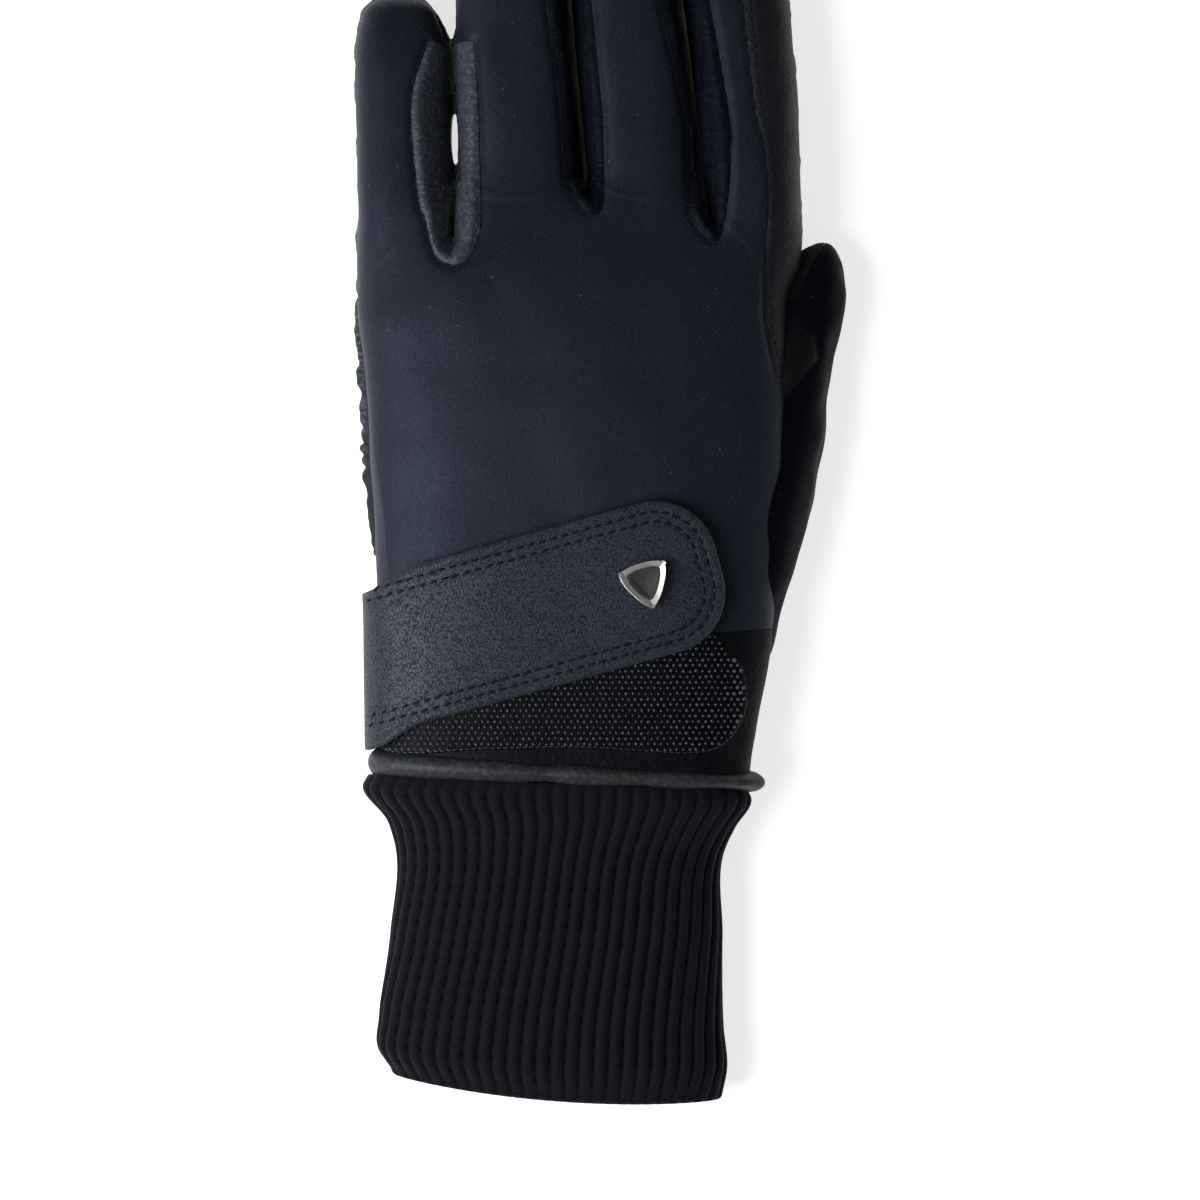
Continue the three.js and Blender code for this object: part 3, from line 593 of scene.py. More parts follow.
def thumb_form(grow, around, rows):
    form = bmesh.new()
    wrapped(form, lambda u, v: thumb_point(u, v, grow), around, rows)
    return finished(form)


def thumb_sewn(points, normals):
    """How seams and folds move the thumb's surface."""
    plan, z = points[:, :2], points[:, 2]
    upward = np.clip(normals[:, 2], 0, 1)
    lift = wavy(points, thumb_waves)
    for line in (thumb_front_seam, np.array(gusset_outline + gusset_outline[:1])):
        lift += upward * bell(distance(plan, line), **thumb_furrow)
    lift += upright(normals) * bell(z - thumb_seam_height, -side_sink, seam_spread)
    moved = normals * lift[:, None]
    moved[:, 2] = np.maximum(moved[:, 2], -z)
    return moved


thumb = even_cloth(thumb_form(thumb_ease, around=96, rows=80), cloth_grid, rounds=4)
thumb = displaced(thumb, thumb_sewn)
thumb_inside = even_cloth(thumb_form(-shell_wall, around=48, rows=40), lining_grid, rounds=3)
hand_shell = hand
for tool in (hand_inside, thumb_inside, hem_block):
    hand_shell = carved(hand_shell, tool)
thumb_shell = thumb
for tool in (hand, hand_inside, thumb_inside, hem_block):
    thumb_shell = carved(thumb_shell, tool)


# Materials are built from named finishes. Sums and products of sockets are written as such.
def plug(value, socket):
    if isinstance(value, Wire):
        socket.id_data.links.new(value.socket, socket)
    else:
        socket.default_value = value


class Wire:
    """A shader socket that takes part in sums and products."""

    def __init__(self, socket):
        self.socket = socket

    def maths(self, operation, first, second=0.0):
        node = self.socket.id_data.nodes.new("ShaderNodeMath")
        node.operation = operation
        plug(first, node.inputs[0])
        plug(second, node.inputs[1])
        return Wire(node.outputs[0])

    def shaped(self, operation):
        return self.maths(operation, self)

    def __add__(self, other):
        return self.maths("ADD", self, other)

    def __sub__(self, other):
        return self.maths("SUBTRACT", self, other)

    def __rsub__(self, other):
        return self.maths("SUBTRACT", other, self)

    def __mul__(self, other):
        return self.maths("MULTIPLY", self, other)

    def __pow__(self, other):
        return self.maths("POWER", self, other)

    __radd__ = __add__
    __rmul__ = __mul__


class Finish:
    """A material and the nodes that feed its shader. Values all over are set on the shader itself."""

    def __init__(self, name, **values):
        self.material = bpy.data.materials.new(name)
        self.material.use_nodes = True
        self.nodes = self.material.node_tree.nodes
        self.shader = self.nodes["Principled BSDF"]
        for socket, value in values.items():
            self.shader.inputs[socket.replace("_", " ").title().replace("Ior", "IOR")].default_value = value
        self.place = self.node("ShaderNodeTexCoord", output="Object")

    def node(self, kind, settings=None, sockets=None, output=0):
        made = self.nodes.new(kind)
        for name, value in (settings or {}).items():
            setattr(made, name, value)
        for name, value in (sockets or {}).items():
            plug(value, made.inputs[name])
        return Wire(made.outputs[output])

    def scaled(self, size):
        """Places counted in cells of a given size, which may differ along the three axes."""
        steps = np.broadcast_to(1 / np.array(size, float), 3)
        return self.node("ShaderNodeVectorMath", {"operation": "MULTIPLY"}, {0: self.place, 1: tuple(steps)})

    def clouds(self, size, detail=2.0, roughness=0.5):
        return self.node("ShaderNodeTexNoise", {"noise_dimensions": "3D"},
                         {"Vector": self.scaled(size), "Scale": 1.0, "Detail": detail,
                          "Roughness": roughness}, "Fac")

    def cells(self, size, feature="F1", randomness=1.0):
        return self.node("ShaderNodeTexVoronoi", {"feature": feature},
                         {"Vector": self.scaled(size), "Scale": 1.0, "Randomness": randomness}, "Distance")

    def step(self, value, low, high, start=0.0, end=1.0):
        ends = {"From Min": low, "From Max": high, "To Min": start, "To Max": end}
        return self.node("ShaderNodeMapRange", {"interpolation_type": "SMOOTHSTEP"}, {"Value": value, **ends})

    def blend(self, share, first, second):
        made = self.nodes.new("ShaderNodeMix")
        made.data_type = "RGBA"
        plug(share, made.inputs["Factor"])
        for value, socket in ((first, made.inputs[6]), (second, made.inputs[7])):
            plug(value if isinstance(value, Wire) else (*value, 1), socket)
        return Wire(made.outputs[2])

    def paint(self, **sockets):
        for name, value in sockets.items():
            plug(value, self.shader.inputs[name.replace("_", " ").title()])

    def relief(self, height, depth, strength=1.0):
        bump = self.node("ShaderNodeBump", {}, {"Height": height, "Distance": depth, "Strength": strength},
                         "Normal")
        plug(bump, self.shader.inputs["Normal"])


def softshell(name, depth, shine):
    """Tightly woven twill with a soft sheen, and a little lint on it. depth: how light it is dyed at 1; below
    1 the same cloth is darkened as painted shade.
    """
    finish = Finish(name, sheen_weight=shine * 0.4, sheen_roughness=0.35, sheen_tint=(0.55, 0.65, 0.9, 1),
                    specular_ior_level=shine, specular_tint=(0.6, 0.75, 1, 1))
    furrow, ridge, lint_tone = (0.0048, 0.0058, 0.0106), (0.0168, 0.0197, 0.0338), (0.12, 0.13, 0.15)
    rib = finish.node("ShaderNodeTexWave", {"bands_direction": "DIAGONAL"},
                      {"Vector": finish.scaled(0.0016), "Scale": 1.0, "Distortion": 0.8, "Detail": 1.0})
    yarn = finish.clouds((0.0005, 0.0009, 0.0005), 3)
    weave = rib * 0.25 + yarn * 0.8
    shade = finish.clouds(0.03, 3)
    lint = finish.step(finish.cells(0.0065), 0.055, 0.03)
    low, high = (tuple(depth * c for c in tone) for tone in (furrow, ridge))
    base = finish.blend(finish.step(weave, 0.3, 0.85), low, high)
    base = finish.blend(shade * 0.4, base, low)
    finish.paint(base_color=finish.blend(lint * 0.35, base, lint_tone), roughness=0.62 - 0.15 * yarn)
    finish.relief(weave, 0.0001, 0.7)
    return finish.material


def soft_leather(name, tone, creases, gloss=0.47, grain=0.0011, relief=0.00035, shine=0.4, wear_and_highlight_band=None):
    """Thin nappa with a fine round grain and creases, a little glossier where it is worn. The last argument,
    if given, holds the two places along x between which its crinkles turn light grey: partly wear, partly
    painted highlight on the side that faces the key light."""
    finish = Finish(name, specular_ior_level=shine, specular_tint=(0.8, 0.88, 1, 1))
    pebbles = finish.step(finish.cells(grain, "SMOOTH_F1"), 0.05, 0.62, 1.0, 0.0)
    folds = finish.clouds(creases, 3, 0.55)
    wear = finish.step(finish.clouds(0.012, 3), 0.45, 0.75)
    dark, wear_and_highlight_tone = tuple(0.55 * c for c in tone), (0.06, 0.067, 0.08)
    colour = finish.blend(finish.step(pebbles * 0.6 + folds * 0.5, 0.25, 0.85), dark, tone)
    # Crinkles on the side towards the key light turn light grey: partly wear, partly painted highlight.
    if wear_and_highlight_band:
        aside = finish.node("ShaderNodeVectorMath", {"operation": "DOT_PRODUCT"},
                            {0: finish.place, 1: (1, 0, 0)}, "Value")
        crinkles = finish.step(finish.clouds((0.004, 0.0011, 0.004), 3, 0.6), 0.42, 0.62)
        colour = finish.blend(finish.step(aside, *wear_and_highlight_band, 1.0, 0.0) * crinkles, colour, wear_and_highlight_tone)
    finish.paint(base_color=colour, roughness=gloss + 0.12 * folds - 0.08 * wear)
    finish.relief(pebbles * 0.35 + folds, relief, 0.8)
    return finish.material


def piece(name, mesh, material, slot, *nodes, sharp=40):
    """A finished piece of the glove, in place of the named nodes."""
    mesh = mesh.copy()
    mesh.name = name
    mesh.materials.clear()
    mesh.materials.append(material)
    mesh.shade_smooth()
    mesh.set_sharp_from_angle(angle=math.radians(sharp))
    made = bpy.data.objects.new(name, mesh)
    bpy.context.collection.objects.link(made)
    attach(made, "root")
    if nodes:
        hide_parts(*nodes)
    return made


# Back, palm, finger gussets and wrist are cut from the hand's shell along its seams.
def back_region(grow=0.0):
    seam = [tuple(point) for point in index_seam]
    fold_x, fold_y = seam[-1]
    outline = [(-far, far), (seam[0][0], far), *seam, (fold_x + hand_width / 4, fold_y), (far, fold_y),
               (far, along(wrist_seam["right"])), (across(1), along(wrist_seam["right"])),
               (-across(1), along(wrist_seam["left"])), (-far, along(wrist_seam["left"]))]
    return prism(outline, seam_height - grow, overhead, grow)


def wrist_region(grow=0.0):
    left, right = (along(wrist_seam[side]) - seam_gap for side in ("left", "right"))
    outline = [(-far, left), (-across(1), left), (across(1), right), (far, right), (far, -far), (-far, -far)]
    return prism(outline, seam_height - grow, overhead, grow)


def welt_region(slit, grow=0.0):
    return prism(welt_outline(slit), seam_height / 2 - grow, overhead, grow)


cut_gap = 0.12 * MM
back_panel = carved(hand_shell, back_region(), "INTERSECT")
palm_panel = carved(carved(hand_shell, back_region(cut_gap)), wrist_region(cut_gap))
for slit in slits.values():
    back_panel = carved(back_panel, welt_region(slit, cut_gap))
    palm_panel = carved(palm_panel, welt_region(slit, cut_gap))
hand_softshell = softshell("softshell", depth=1, shine=0.24)
# The palm leather's crinkles turn light grey on the little finger's side, partly wear and partly painted
# highlight.
palm_leather = soft_leather("palm_leather", (0.006, 0.0066, 0.0088), creases=0.003, gloss=0.52, grain=0.0009,
                            relief=0.0002, shine=0.3, wear_and_highlight_band=(across(-0.975), across(-0.94)))
gusset_creases = (0.004, 0.0008, 0.004)
# The ring-little gusset is the same leather as the other two, made many times lighter as painted light where
# its rolls face the key light. The other two keep a dark navy tone, partly their own and partly painted
# shade.
gusset_painted_light = soft_leather("gusset_leather_lit", (0.06, 0.069, 0.092), gusset_creases, shine=0.3)
dark_gusset = soft_leather("gusset_leather", (0.005, 0.0066, 0.0125), gusset_creases, relief=0.0002,
                           shine=0.06)
piece("back_panel_softshell", back_panel, hand_softshell, "softshell", "back_panel")
piece("palm_panel_leather", palm_panel, palm_leather, "leather", "palm_panel")
for name, slit in slits.items():
    gusset = carved(hand_shell, welt_region(slit), "INTERSECT")
    leather = gusset_painted_light if name == "ring_little" else dark_gusset
    piece(f"fourchette_{name}_leather", gusset, leather, "leather", f"fourchette_{name}")
wrist_leather = soft_leather("wrist_leather", (0.0035, 0.0042, 0.0062), creases=0.0025, gloss=0.5,
                             relief=0.0002, shine=0.1)
piece("wrist_panel_leather", carved(hand_shell, wrist_region(), "INTERSECT"), wrist_leather, "leather",
      "wrist_panel")


# The thumb is leather in front and below, softshell on its back, with a small leather gusset at its root.
thumb_gap = 0.03 * MM


def thumb_front_regions(grow=0.0):
    seam = [tuple(point) for point in thumb_front_seam]
    inner = seam[-1][0] - thumb_width
    outline = [(seam[0][0], far), *seam, (inner, seam[-1][1]), (inner, far)]
    everywhere = [(-far, -far), (far, -far), (far, far), (-far, far)]
    return prism(outline, 0, overhead, grow), prism(everywhere, -overhead, thumb_seam_height + grow)


def gusset_region(grow=0.0):
    return prism(gusset_outline, thumb_seam_height - grow, overhead, grow)


front_side, front_under = thumb_front_regions()
thumb_front = bmesh.new()
thumb_front.from_mesh(carved(thumb_shell, front_under, "INTERSECT"))
thumb_front.from_mesh(carved(carved(thumb_shell, front_under), front_side, "INTERSECT"))
thumb_back = thumb_shell
for tool in (*thumb_front_regions(thumb_gap), gusset_region(thumb_gap)):
    thumb_back = carved(thumb_back, tool)
thumb_gusset = carved(thumb_shell, gusset_region(), "INTERSECT")
for tool in thumb_front_regions(thumb_gap):
    thumb_gusset = carved(thumb_gusset, tool)
# The thumb's back is the same softshell darkened to a fifth, as painted shade where the thumb lies away from
# the key light.
thumb_softshell_painted_shade = softshell("softshell_thumb_painted_shade", depth=0.2, shine=0.05)
# The thumb's leather is the palm's leather darkened to about three fifths, as painted shade where the thumb
# lies away from the key light.
thumb_leather_painted_shade = soft_leather("thumb_leather_painted_shade", (0.0035, 0.0039, 0.0052), creases=0.003, gloss=0.55,
                             grain=0.0009, relief=0.0002, shine=0.15)
piece("thumb_back_softshell", thumb_back, thumb_softshell_painted_shade, "softshell", "thumb_back")
piece("thumb_front_leather", finished(thumb_front), thumb_leather_painted_shade, "leather", "thumb_front")
piece("thumb_gusset_leather", thumb_gusset, thumb_leather_painted_shade, "leather", "thumb_gusset")


# The sewing thread. Every visible stitch is a short sunk stroke of it, laid on the surface it is sewn in.
thread_length = 2.1 * MM
thread_width = 0.72 * MM
gusset_row_inset = 0.5 * MM
gusset_stitch = dict(pitch=1.65 * MM, length=1.1 * MM, width=0.6 * MM, slant=0.6)
index_stitch = dict(pitch=2.2 * MM, length=1.6 * MM, width=0.4 * MM)


def surface(mesh):
    """A mesh as something that a point can be dropped on."""
    return BVHTree.FromPolygons([v.co for v in mesh.vertices], [p.vertices[:] for p in mesh.polygons])


def spaced(line, pitch):
    """Places and directions at equal steps along a line."""
    line = np.array(line)
    steps = np.linalg.norm(np.diff(line, axis=0), axis=1)
    reached = np.concatenate([[0], np.cumsum(steps)])
    stations = np.arange(pitch / 2, reached[-1], pitch)
    spots = np.stack([np.interp(stations, reached, line[:, k]) for k in range(line.shape[1])], axis=1)
    ahead = np.stack([np.interp(stations + pitch / 4, reached, line[:, k]) for k in range(line.shape[1])],
                     axis=1)
    return spots, ahead - spots


def dropped(ground, spot, ahead, size, sunk=0.0, down=(0, 0, -1), lowest=seam_height):
    """The place and size of a small body on the surface found from a spot, or None off the surface.
    size: half length, width and height."""
    hit, normal, _, _ = ground.ray_cast(Vector(spot), Vector(down), 1.0)
    if hit is None or hit.z < lowest:
        return None
    ahead = Vector(ahead)
    ahead = (ahead - normal * ahead.dot(normal)).normalized()
    side = normal.cross(ahead)
    turn = Matrix([ahead * size[0], side * size[1], normal * size[2]]).transposed().to_4x4()
    return Matrix.Translation(hit - normal * sunk) @ turn


def beads(places, name="beads"):
    """One mesh of a small round body at each place."""
    form = bmesh.new()
    bmesh.ops.create_uvsphere(form, u_segments=8, v_segments=5, radius=1)
    round_one = finished(form)
    corners = np.array([(*vert.co, 1) for vert in round_one.vertices])
    faces = [tuple(face.vertices) for face in round_one.polygons]
    places = [np.array(place) for place in places if place]
    points = np.concatenate([(corners @ place.T)[:, :3] for place in places])
    mesh = bpy.data.meshes.new(name)
    mesh.from_pydata(points.tolist(), [], [tuple(i + k * len(corners) for i in face)
                                           for k in range(len(places)) for face in faces])
    return mesh


def sewn_row(ground, line, pitch, length=thread_length, width=thread_width, slant=0.0):
    """A row of stitches along a line seen from above."""
    return [dropped(ground, (*spot, overhead), (ahead[0] - slant * ahead[1], ahead[1] + slant * ahead[0], 0),
                    (length / 2, width / 2, width / 2))
            for spot, ahead in zip(*spaced(line, pitch))]


def thread_finish():
    finish = Finish("thread", roughness=0.7, specular_ior_level=0.15)
    ply = finish.clouds((0.0002, 0.0006, 0.0002), 1)
    finish.paint(base_color=finish.blend(ply, (0.002, 0.0024, 0.004), (0.006, 0.007, 0.011)))
    finish.relief(ply, 0.0001)
    return finish.material


thread = thread_finish()
back_ground = surface(back_panel)
palm_ground = surface(palm_panel)
stitches = []
for slit in slits.values():
    outline = welt_outline(slit)
    outward = np.gradient(outline, axis=0)
    outward = np.stack([outward[:, 1], -outward[:, 0]], axis=1) / np.linalg.norm(outward, axis=1)[:, None]
    stitches += sewn_row(back_ground, outline - outward * gusset_row_inset, **gusset_stitch)
index_row = index_seam + (index_row_inset, 0)
stitches += sewn_row(palm_ground, index_row[8:-6], **index_stitch)
piece("seam_thread", beads(stitches), thread, "softshell")


# The loop patch. A woven tape with glossy loops in staggered rows, sewn down over the wrist panel, on
# which the strap's hooks hold.
patch_thickness = 1.5 * MM
patch_outline = curve(placed([
    (0.018, -0.87), (0.02, -0.4), (0.023, 0), (0.016, 0.32), (0.012, 0.5), (0.024, 0.66), (0.075, 0.764),
    (0.14, 0.778), (0.19, 0.72), (0.235, 0.6), (0.255, 0.45), (0.17, -0.3), (0.11, -0.87),
]), 8, closed=True)
loop_pitch = 1.5 * MM
loop_row = 1.32 * MM
loop_size = (0.42 * MM, 0.36 * MM, 0.34 * MM)
loop_spread = (0.75, 1.15)
loop_jitter = 0.07 * MM
loop_turn = 0.4
border_width = 3.5 * MM
border_size = 1.35
patch_edge = 0.7 * MM
patch_row_inset = 0.5 * MM
patch_stitch = dict(pitch=1.5 * MM, length=1.3 * MM, width=0.3 * MM)
strap_grid = 0.5 * MM


def palm_loft(grow, sink):
    form = bmesh.new()
    wrapped(form, lambda u, v: palm_point(u, v, grow, sink), 160, 96)
    return finished(form)


def layer(seat, thickness, *regions):
    """A band of even thickness over the hand, where the regions are."""
    band = bmesh.new()
    for region in regions:
        upper = carved(palm_loft(seat + thickness, seam_gap + thickness), region, "INTERSECT")
        band.from_mesh(carved(upper, palm_loft(seat, seam_gap)))
    return even_cloth(finished(band), strap_grid, 10)


strap_width = 36.3 * MM
strap_reach = 87 * MM
strap_thickness = 2.1 * MM
strap_corner = 14.5 * MM
strap_angle = math.radians(15.5)
strap_tail = 30 * MM
strap_foot = np.array((across(-0.962), along(0.178)))


def strap_point(u, v):
    """A place in the strap's own directions: u along it from the little finger's side, v across it."""
    return strap_foot + (u * math.cos(strap_angle) - v * math.sin(strap_angle),
                         u * math.sin(strap_angle) + v * math.cos(strap_angle))


def strap_edge(inset=0.0):
    """The strap's edge from above, from its upper left round the rounded end, moved inwards."""
    half, corner = strap_width / 2 - inset, strap_corner - inset
    turns = np.linspace(math.pi / 2, 0, 13)
    end = [(strap_reach - strap_corner + corner * math.cos(t), half - corner + corner * math.sin(t))
           for t in turns]
    upper = [(-hand_width / 4, half), *end]
    return np.array([strap_point(u, v) for u, v in upper + [(u, -v) for u, v in upper[::-1]]])


def loop_finish():
    """Woven nylon tape, dark between its glossy loops."""
    finish = Finish("loop_tape", specular_ior_level=0.08)
    weave = finish.cells((0.00075, 0.00066, 0.00075), randomness=0.55)
    yarn, gap = (0.003, 0.0033, 0.005), (0.0005, 0.0005, 0.001)
    tone = finish.blend(finish.step(weave, 0.1, 0.7), yarn, gap)
    finish.paint(base_color=tone, roughness=0.38 + 0.3 * weave)
    finish.relief(1.0 - weave, 0.00012)
    return finish.material


def nylon_finish():
    """Glossy nylon, lighter where its filaments lie open."""
    finish = Finish("loop_nylon", specular_ior_level=0.8, specular_tint=(0.8, 0.88, 1, 1))
    finish.paint(base_color=finish.blend(finish.clouds(0.004), (0.012, 0.0145, 0.024), (0.05, 0.057, 0.084)),
                 roughness=0.2 + 0.2 * finish.clouds(0.0007))
    return finish.material


patch = layer(seam_gap, patch_thickness, prism(patch_outline, seam_height, overhead))
patch_ground = surface(patch)
jitter = np.random.default_rng(4)
columns, rows = np.meshgrid(np.arange(-60, 60), np.arange(-14, 16))
spots = np.stack([(columns + rows % 2 / 2) * loop_pitch, along(0.1) + rows * loop_row], axis=-1)
spots = spots.reshape(-1, 2)
open_patch = within(spots, patch_outline) & (distance(spots, patch_outline) > patch_edge)
open_patch &= ~within(spots, strap_edge(2 * MM))
border = spots[:, 0] > patch_outline[:, 0].max() - border_width
loops = []
for (x, y), outer in zip(spots[open_patch], border[open_patch]):
    x, y = (x, y) + jitter.normal(size=2) * loop_jitter
    size = np.array(loop_size) * jitter.uniform(*loop_spread) * (border_size if outer else 1)
    loops.append(dropped(patch_ground, (x, y, overhead), (jitter.normal() * loop_turn, 1, 0), size))
piece("loop_patch_tape", patch, loop_finish(), "loop_pile", "loop_patch")
piece("loop_patch_loops", beads(loops), nylon_finish(), "loop_pile")
patch_stitches = sewn_row(patch_ground, patch_outline + (0, patch_row_inset), **patch_stitch)
piece("loop_patch_thread", beads(patch_stitches), nylon_finish(), "loop_pile")


# The wrist strap. Pebbled leather with a rounded end, double-stitched along its edges. It comes from
# under the palm, wraps the little finger's side and closes over the loop patch.
strap_seat = patch_thickness + 2 * seam_gap
stitch_pitch = 2.7 * MM
stitch_rows = (2.8 * MM, 5.0 * MM)
row_furrow = dict(height=-0.2 * MM, width=0.6 * MM)
edge_ridge = dict(height=0.14 * MM, width=0.9 * MM)
edge_ridge_inset = 1.5 * MM
strap_waves = [dict(depth=0.12 * MM, size=14 * MM, seed=21)]
strap_fall = 3 * MM
strap_shoulder = 33 * MM
shoulder_drop = 14 * MM
shoulder_start = -0.7
shoulder_run = 8 * MM
side_stitch_heights = (4 * MM, 19 * MM)
side_stitch_sink = 0.3 * MM


def strap_under():
    edge_x = strap_foot[0] + strap_seat + strap_thickness
    top, bottom = strap_point(0, strap_width / 2)[1], strap_point(0, -strap_width / 2)[1]
    slope = math.sin(strap_angle)
    outline = [(edge_x - hand_width / 4, top + hand_width / 4 * slope), (edge_x, top),
               (edge_x + strap_tail, top - strap_tail * slope), (edge_x + strap_tail, bottom),
               (edge_x, bottom), (edge_x - hand_width / 4, bottom)]
    return prism(outline, -overhead, seam_height)


def stitched(points, normals):
    """The strap's sunk stitch rows, the soft ridge between them and its slightly wavy lie."""
    edge = distance(points[:, :2], strap_edge())
    upward = np.clip(normals[:, 2], 0, 1) * (points[:, 2] > seam_height)
    lift = sum(bell(edge - row, **row_furrow) for row in stitch_rows)
    lift += bell(edge - edge_ridge_inset, **edge_ridge) + wavy(points, strap_waves)
    moved = normals * (upward * lift)[:, None]
    # Round the hand's side it goes on in its own direction, so it slips towards the wrist.
    fall = np.clip((strap_shoulder - points[:, 2]) / shoulder_drop, 0, 1)
    aside = np.clip((across(shoulder_start) - points[:, 0]) / shoulder_run, 0, 1)
    moved[:, 1] -= strap_fall * np.maximum(np.sin(fall * np.pi / 2) * aside, points[:, 2] < seam_height)
    return moved


def strap_finish():
    """Leather embossed with a fine upright worm grain, lighter on its ridges."""
    finish = Finish("strap_leather", specular_ior_level=0.3, specular_tint=(0.75, 0.86, 1, 1))
    # Worms are the lines on which a fine noise is at its middle value, broken by a coarser one.
    field = finish.clouds((0.00052, 0.001, 0.00052), 0.4)
    apart = (field - 0.5).shaped("ABSOLUTE")
    worms = finish.step(apart - 0.03 * finish.clouds(0.0015), 0.004, 0.055)
    tone = finish.clouds(0.02, 2)
    ridge = finish.blend(tone, (0.021, 0.0255, 0.038), (0.027, 0.033, 0.0485))
    finish.paint(base_color=finish.blend(worms, (0.0035, 0.0045, 0.007), ridge),
                 roughness=0.58 - 0.1 * worms)
    finish.relief(worms + 0.4 * finish.clouds(0.004), 0.00024, 0.9)
    return finish.material


strap = layer(strap_seat, strap_thickness, prism(strap_edge(), seam_height - strap_thickness, overhead),
              strap_under())
strap = displaced(strap, stitched)
strap_ground = surface(strap)
piece("wrist_strap_leather", strap, strap_finish(), "strap_leather", "wrist_strap")
strap_stitches = []
for inset in stitch_rows:
    strap_stitches += sewn_row(strap_ground, strap_edge(inset), stitch_pitch, slant=0.12)
    for side in (-1, 1):
        level = strap_point(0, side * (strap_width / 2 - inset))[1] - strap_fall
        strap_stitches += [dropped(strap_ground, (-hand_width, level, z), (0, 0, 1),
                                   (thread_length / 2, thread_width / 2, thread_width / 2),
                                   side_stitch_sink, (1, 0, 0), 0)
                           for z in np.arange(*side_stitch_heights, stitch_pitch)]
piece("wrist_strap_thread", beads(strap_stitches), thread, "strap_leather")


# The badge. A polished rim in the form of a small shield holds a plain dark enamel field. It is riveted
# on near the strap's end.
badge_size = 10.9 * MM
badge_thickness = 1.6 * MM
badge_rim = 1.5 * MM
badge_inset = 18 * MM
rim_hollow = 0.75 * badge_thickness
rim_rounding = 0.22 * MM
field_gap = 0.1 * MM
field_seat = 0.2 * badge_thickness
field_rise = 0.3 * badge_thickness
field_border = dict(thickness=0.7 * MM, depth=-0.2 * MM)
field_rounding = 0.08 * MM
badge_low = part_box("badge_rim")[0].z
shield_lean = math.radians(-164)
# turn: radians from a corner. reach: share of the badge's size.
shield_side = [
    dict(turn=0, reach=0.58),
    dict(turn=0.12, reach=0.55),
    dict(turn=0.5, reach=0.455),
    dict(turn=1.05, reach=0.4),
    dict(turn=1.6, reach=0.455),
    dict(turn=1.97, reach=0.55),
]


def shield(size, low):
    """A flat face in the badge's outline."""
    place = strap_point(strap_reach - badge_inset, 0)
    starts = np.arange(3) * 2 * math.pi / 3 + math.pi / 2 + shield_lean
    corners = [(start + side["turn"], side["reach"] * size) for start in starts for side in shield_side]
    form = bmesh.new()
    outline = curve([place + (math.cos(t) * r, math.sin(t) * r) for t, r in corners], 4, closed=True)
    face = form.faces.new([form.verts.new((x, y, low)) for x, y in outline])
    if face.normal.z < 0:
        face.normal_flip()
    return form


def raise_face(form, face, height):
    """The face moved up on walls of its own."""
    made = bmesh.ops.extrude_face_region(form, geom=[face], use_keep_orig=True)["geom"]
    corners = [item for item in made if isinstance(item, bmesh.types.BMVert)]
    bmesh.ops.translate(form, verts=corners, vec=(0, 0, height))
    return next(item for item in made if isinstance(item, bmesh.types.BMFace))


def rounded(form, width, angle=30, segments=3):
    """The form with its sharp edges rounded over."""
    bmesh.ops.recalc_face_normals(form, faces=form.faces)
    edges = [e for e in form.edges if len(e.link_faces) == 2 and e.calc_face_angle() > math.radians(angle)]
    bmesh.ops.bevel(form, geom=edges, offset=width, affect="EDGES", segments=segments, profile=0.5,
                    material=-1)
    return form


rim = shield(badge_size, badge_low)
rim.faces.ensure_lookup_table()
top = raise_face(rim, rim.faces[0], badge_thickness)
bmesh.ops.inset_region(rim, faces=[top], thickness=badge_rim)
bmesh.ops.translate(rim, verts=top.verts, vec=(0, 0, -rim_hollow))
rounded(rim, rim_rounding)
field = shield(badge_size - 2 * (badge_rim + field_gap), badge_low + field_seat)
field.faces.ensure_lookup_table()
raised = raise_face(field, field.faces[0], field_rise)
bmesh.ops.inset_region(field, faces=[raised], **field_border)
rounded(field, field_rounding, segments=2)


def metal_finish():
    """Polished metal, a little warm, with fine rub marks."""
    finish = Finish("badge_metal", metallic=1.0)
    rub = finish.clouds((0.003, 0.0004, 0.003), 3)
    tone = finish.blend(rub, (0.7, 0.68, 0.66), (0.85, 0.83, 0.81))
    finish.paint(base_color=tone, roughness=0.4 + 0.15 * rub)
    finish.relief(rub, 0.00003, 0.4)
    return finish.material


def enamel_finish():
    """Dark enamel with a fine grain under a clear coat."""
    finish = Finish("badge_enamel", coat_weight=0.6, coat_roughness=0.08)
    grain = finish.cells(0.0004)
    finish.paint(base_color=finish.blend(grain, (0.012, 0.012, 0.014), (0.03, 0.03, 0.034)),
                 roughness=0.3 + 0.2 * grain)
    finish.relief(grain, 0.00008, 0.6)
    return finish.material


piece("badge_rim_metal", finished(rim), metal_finish(), "badge_metal", "badge_rim")
piece("badge_field_enamel", finished(field), enamel_finish(), "badge_enamel", "badge_field")


# The hem's piping. A soft roll of pebbled leather, sewn round the hem between the hand and the cuff. It
# is full on the little finger's side and thins out towards the thumb, where its two ends meet.
piping_depth = 6 * MM
piping_tuck = 0.15
piping_waves = [dict(depth=0.07, size=6 * MM, seed=31)]
piping_ends = dict(left=0.49, right=0.02)
left_swelling = dict(height=0.35, width=0.03)
right_swelling = dict(height=0.35, width=0.02)
hem_row = palm_rows[1]


def hem_section(turn):
    x, z = section(turn, across(hem_row["left"]), across(hem_row["right"]), hem_row["top"] * hand_height,
                   hem_row["bed"] * bed_rise, squareness["palm"], 0.0)
    return np.stack([x, z], axis=-1)


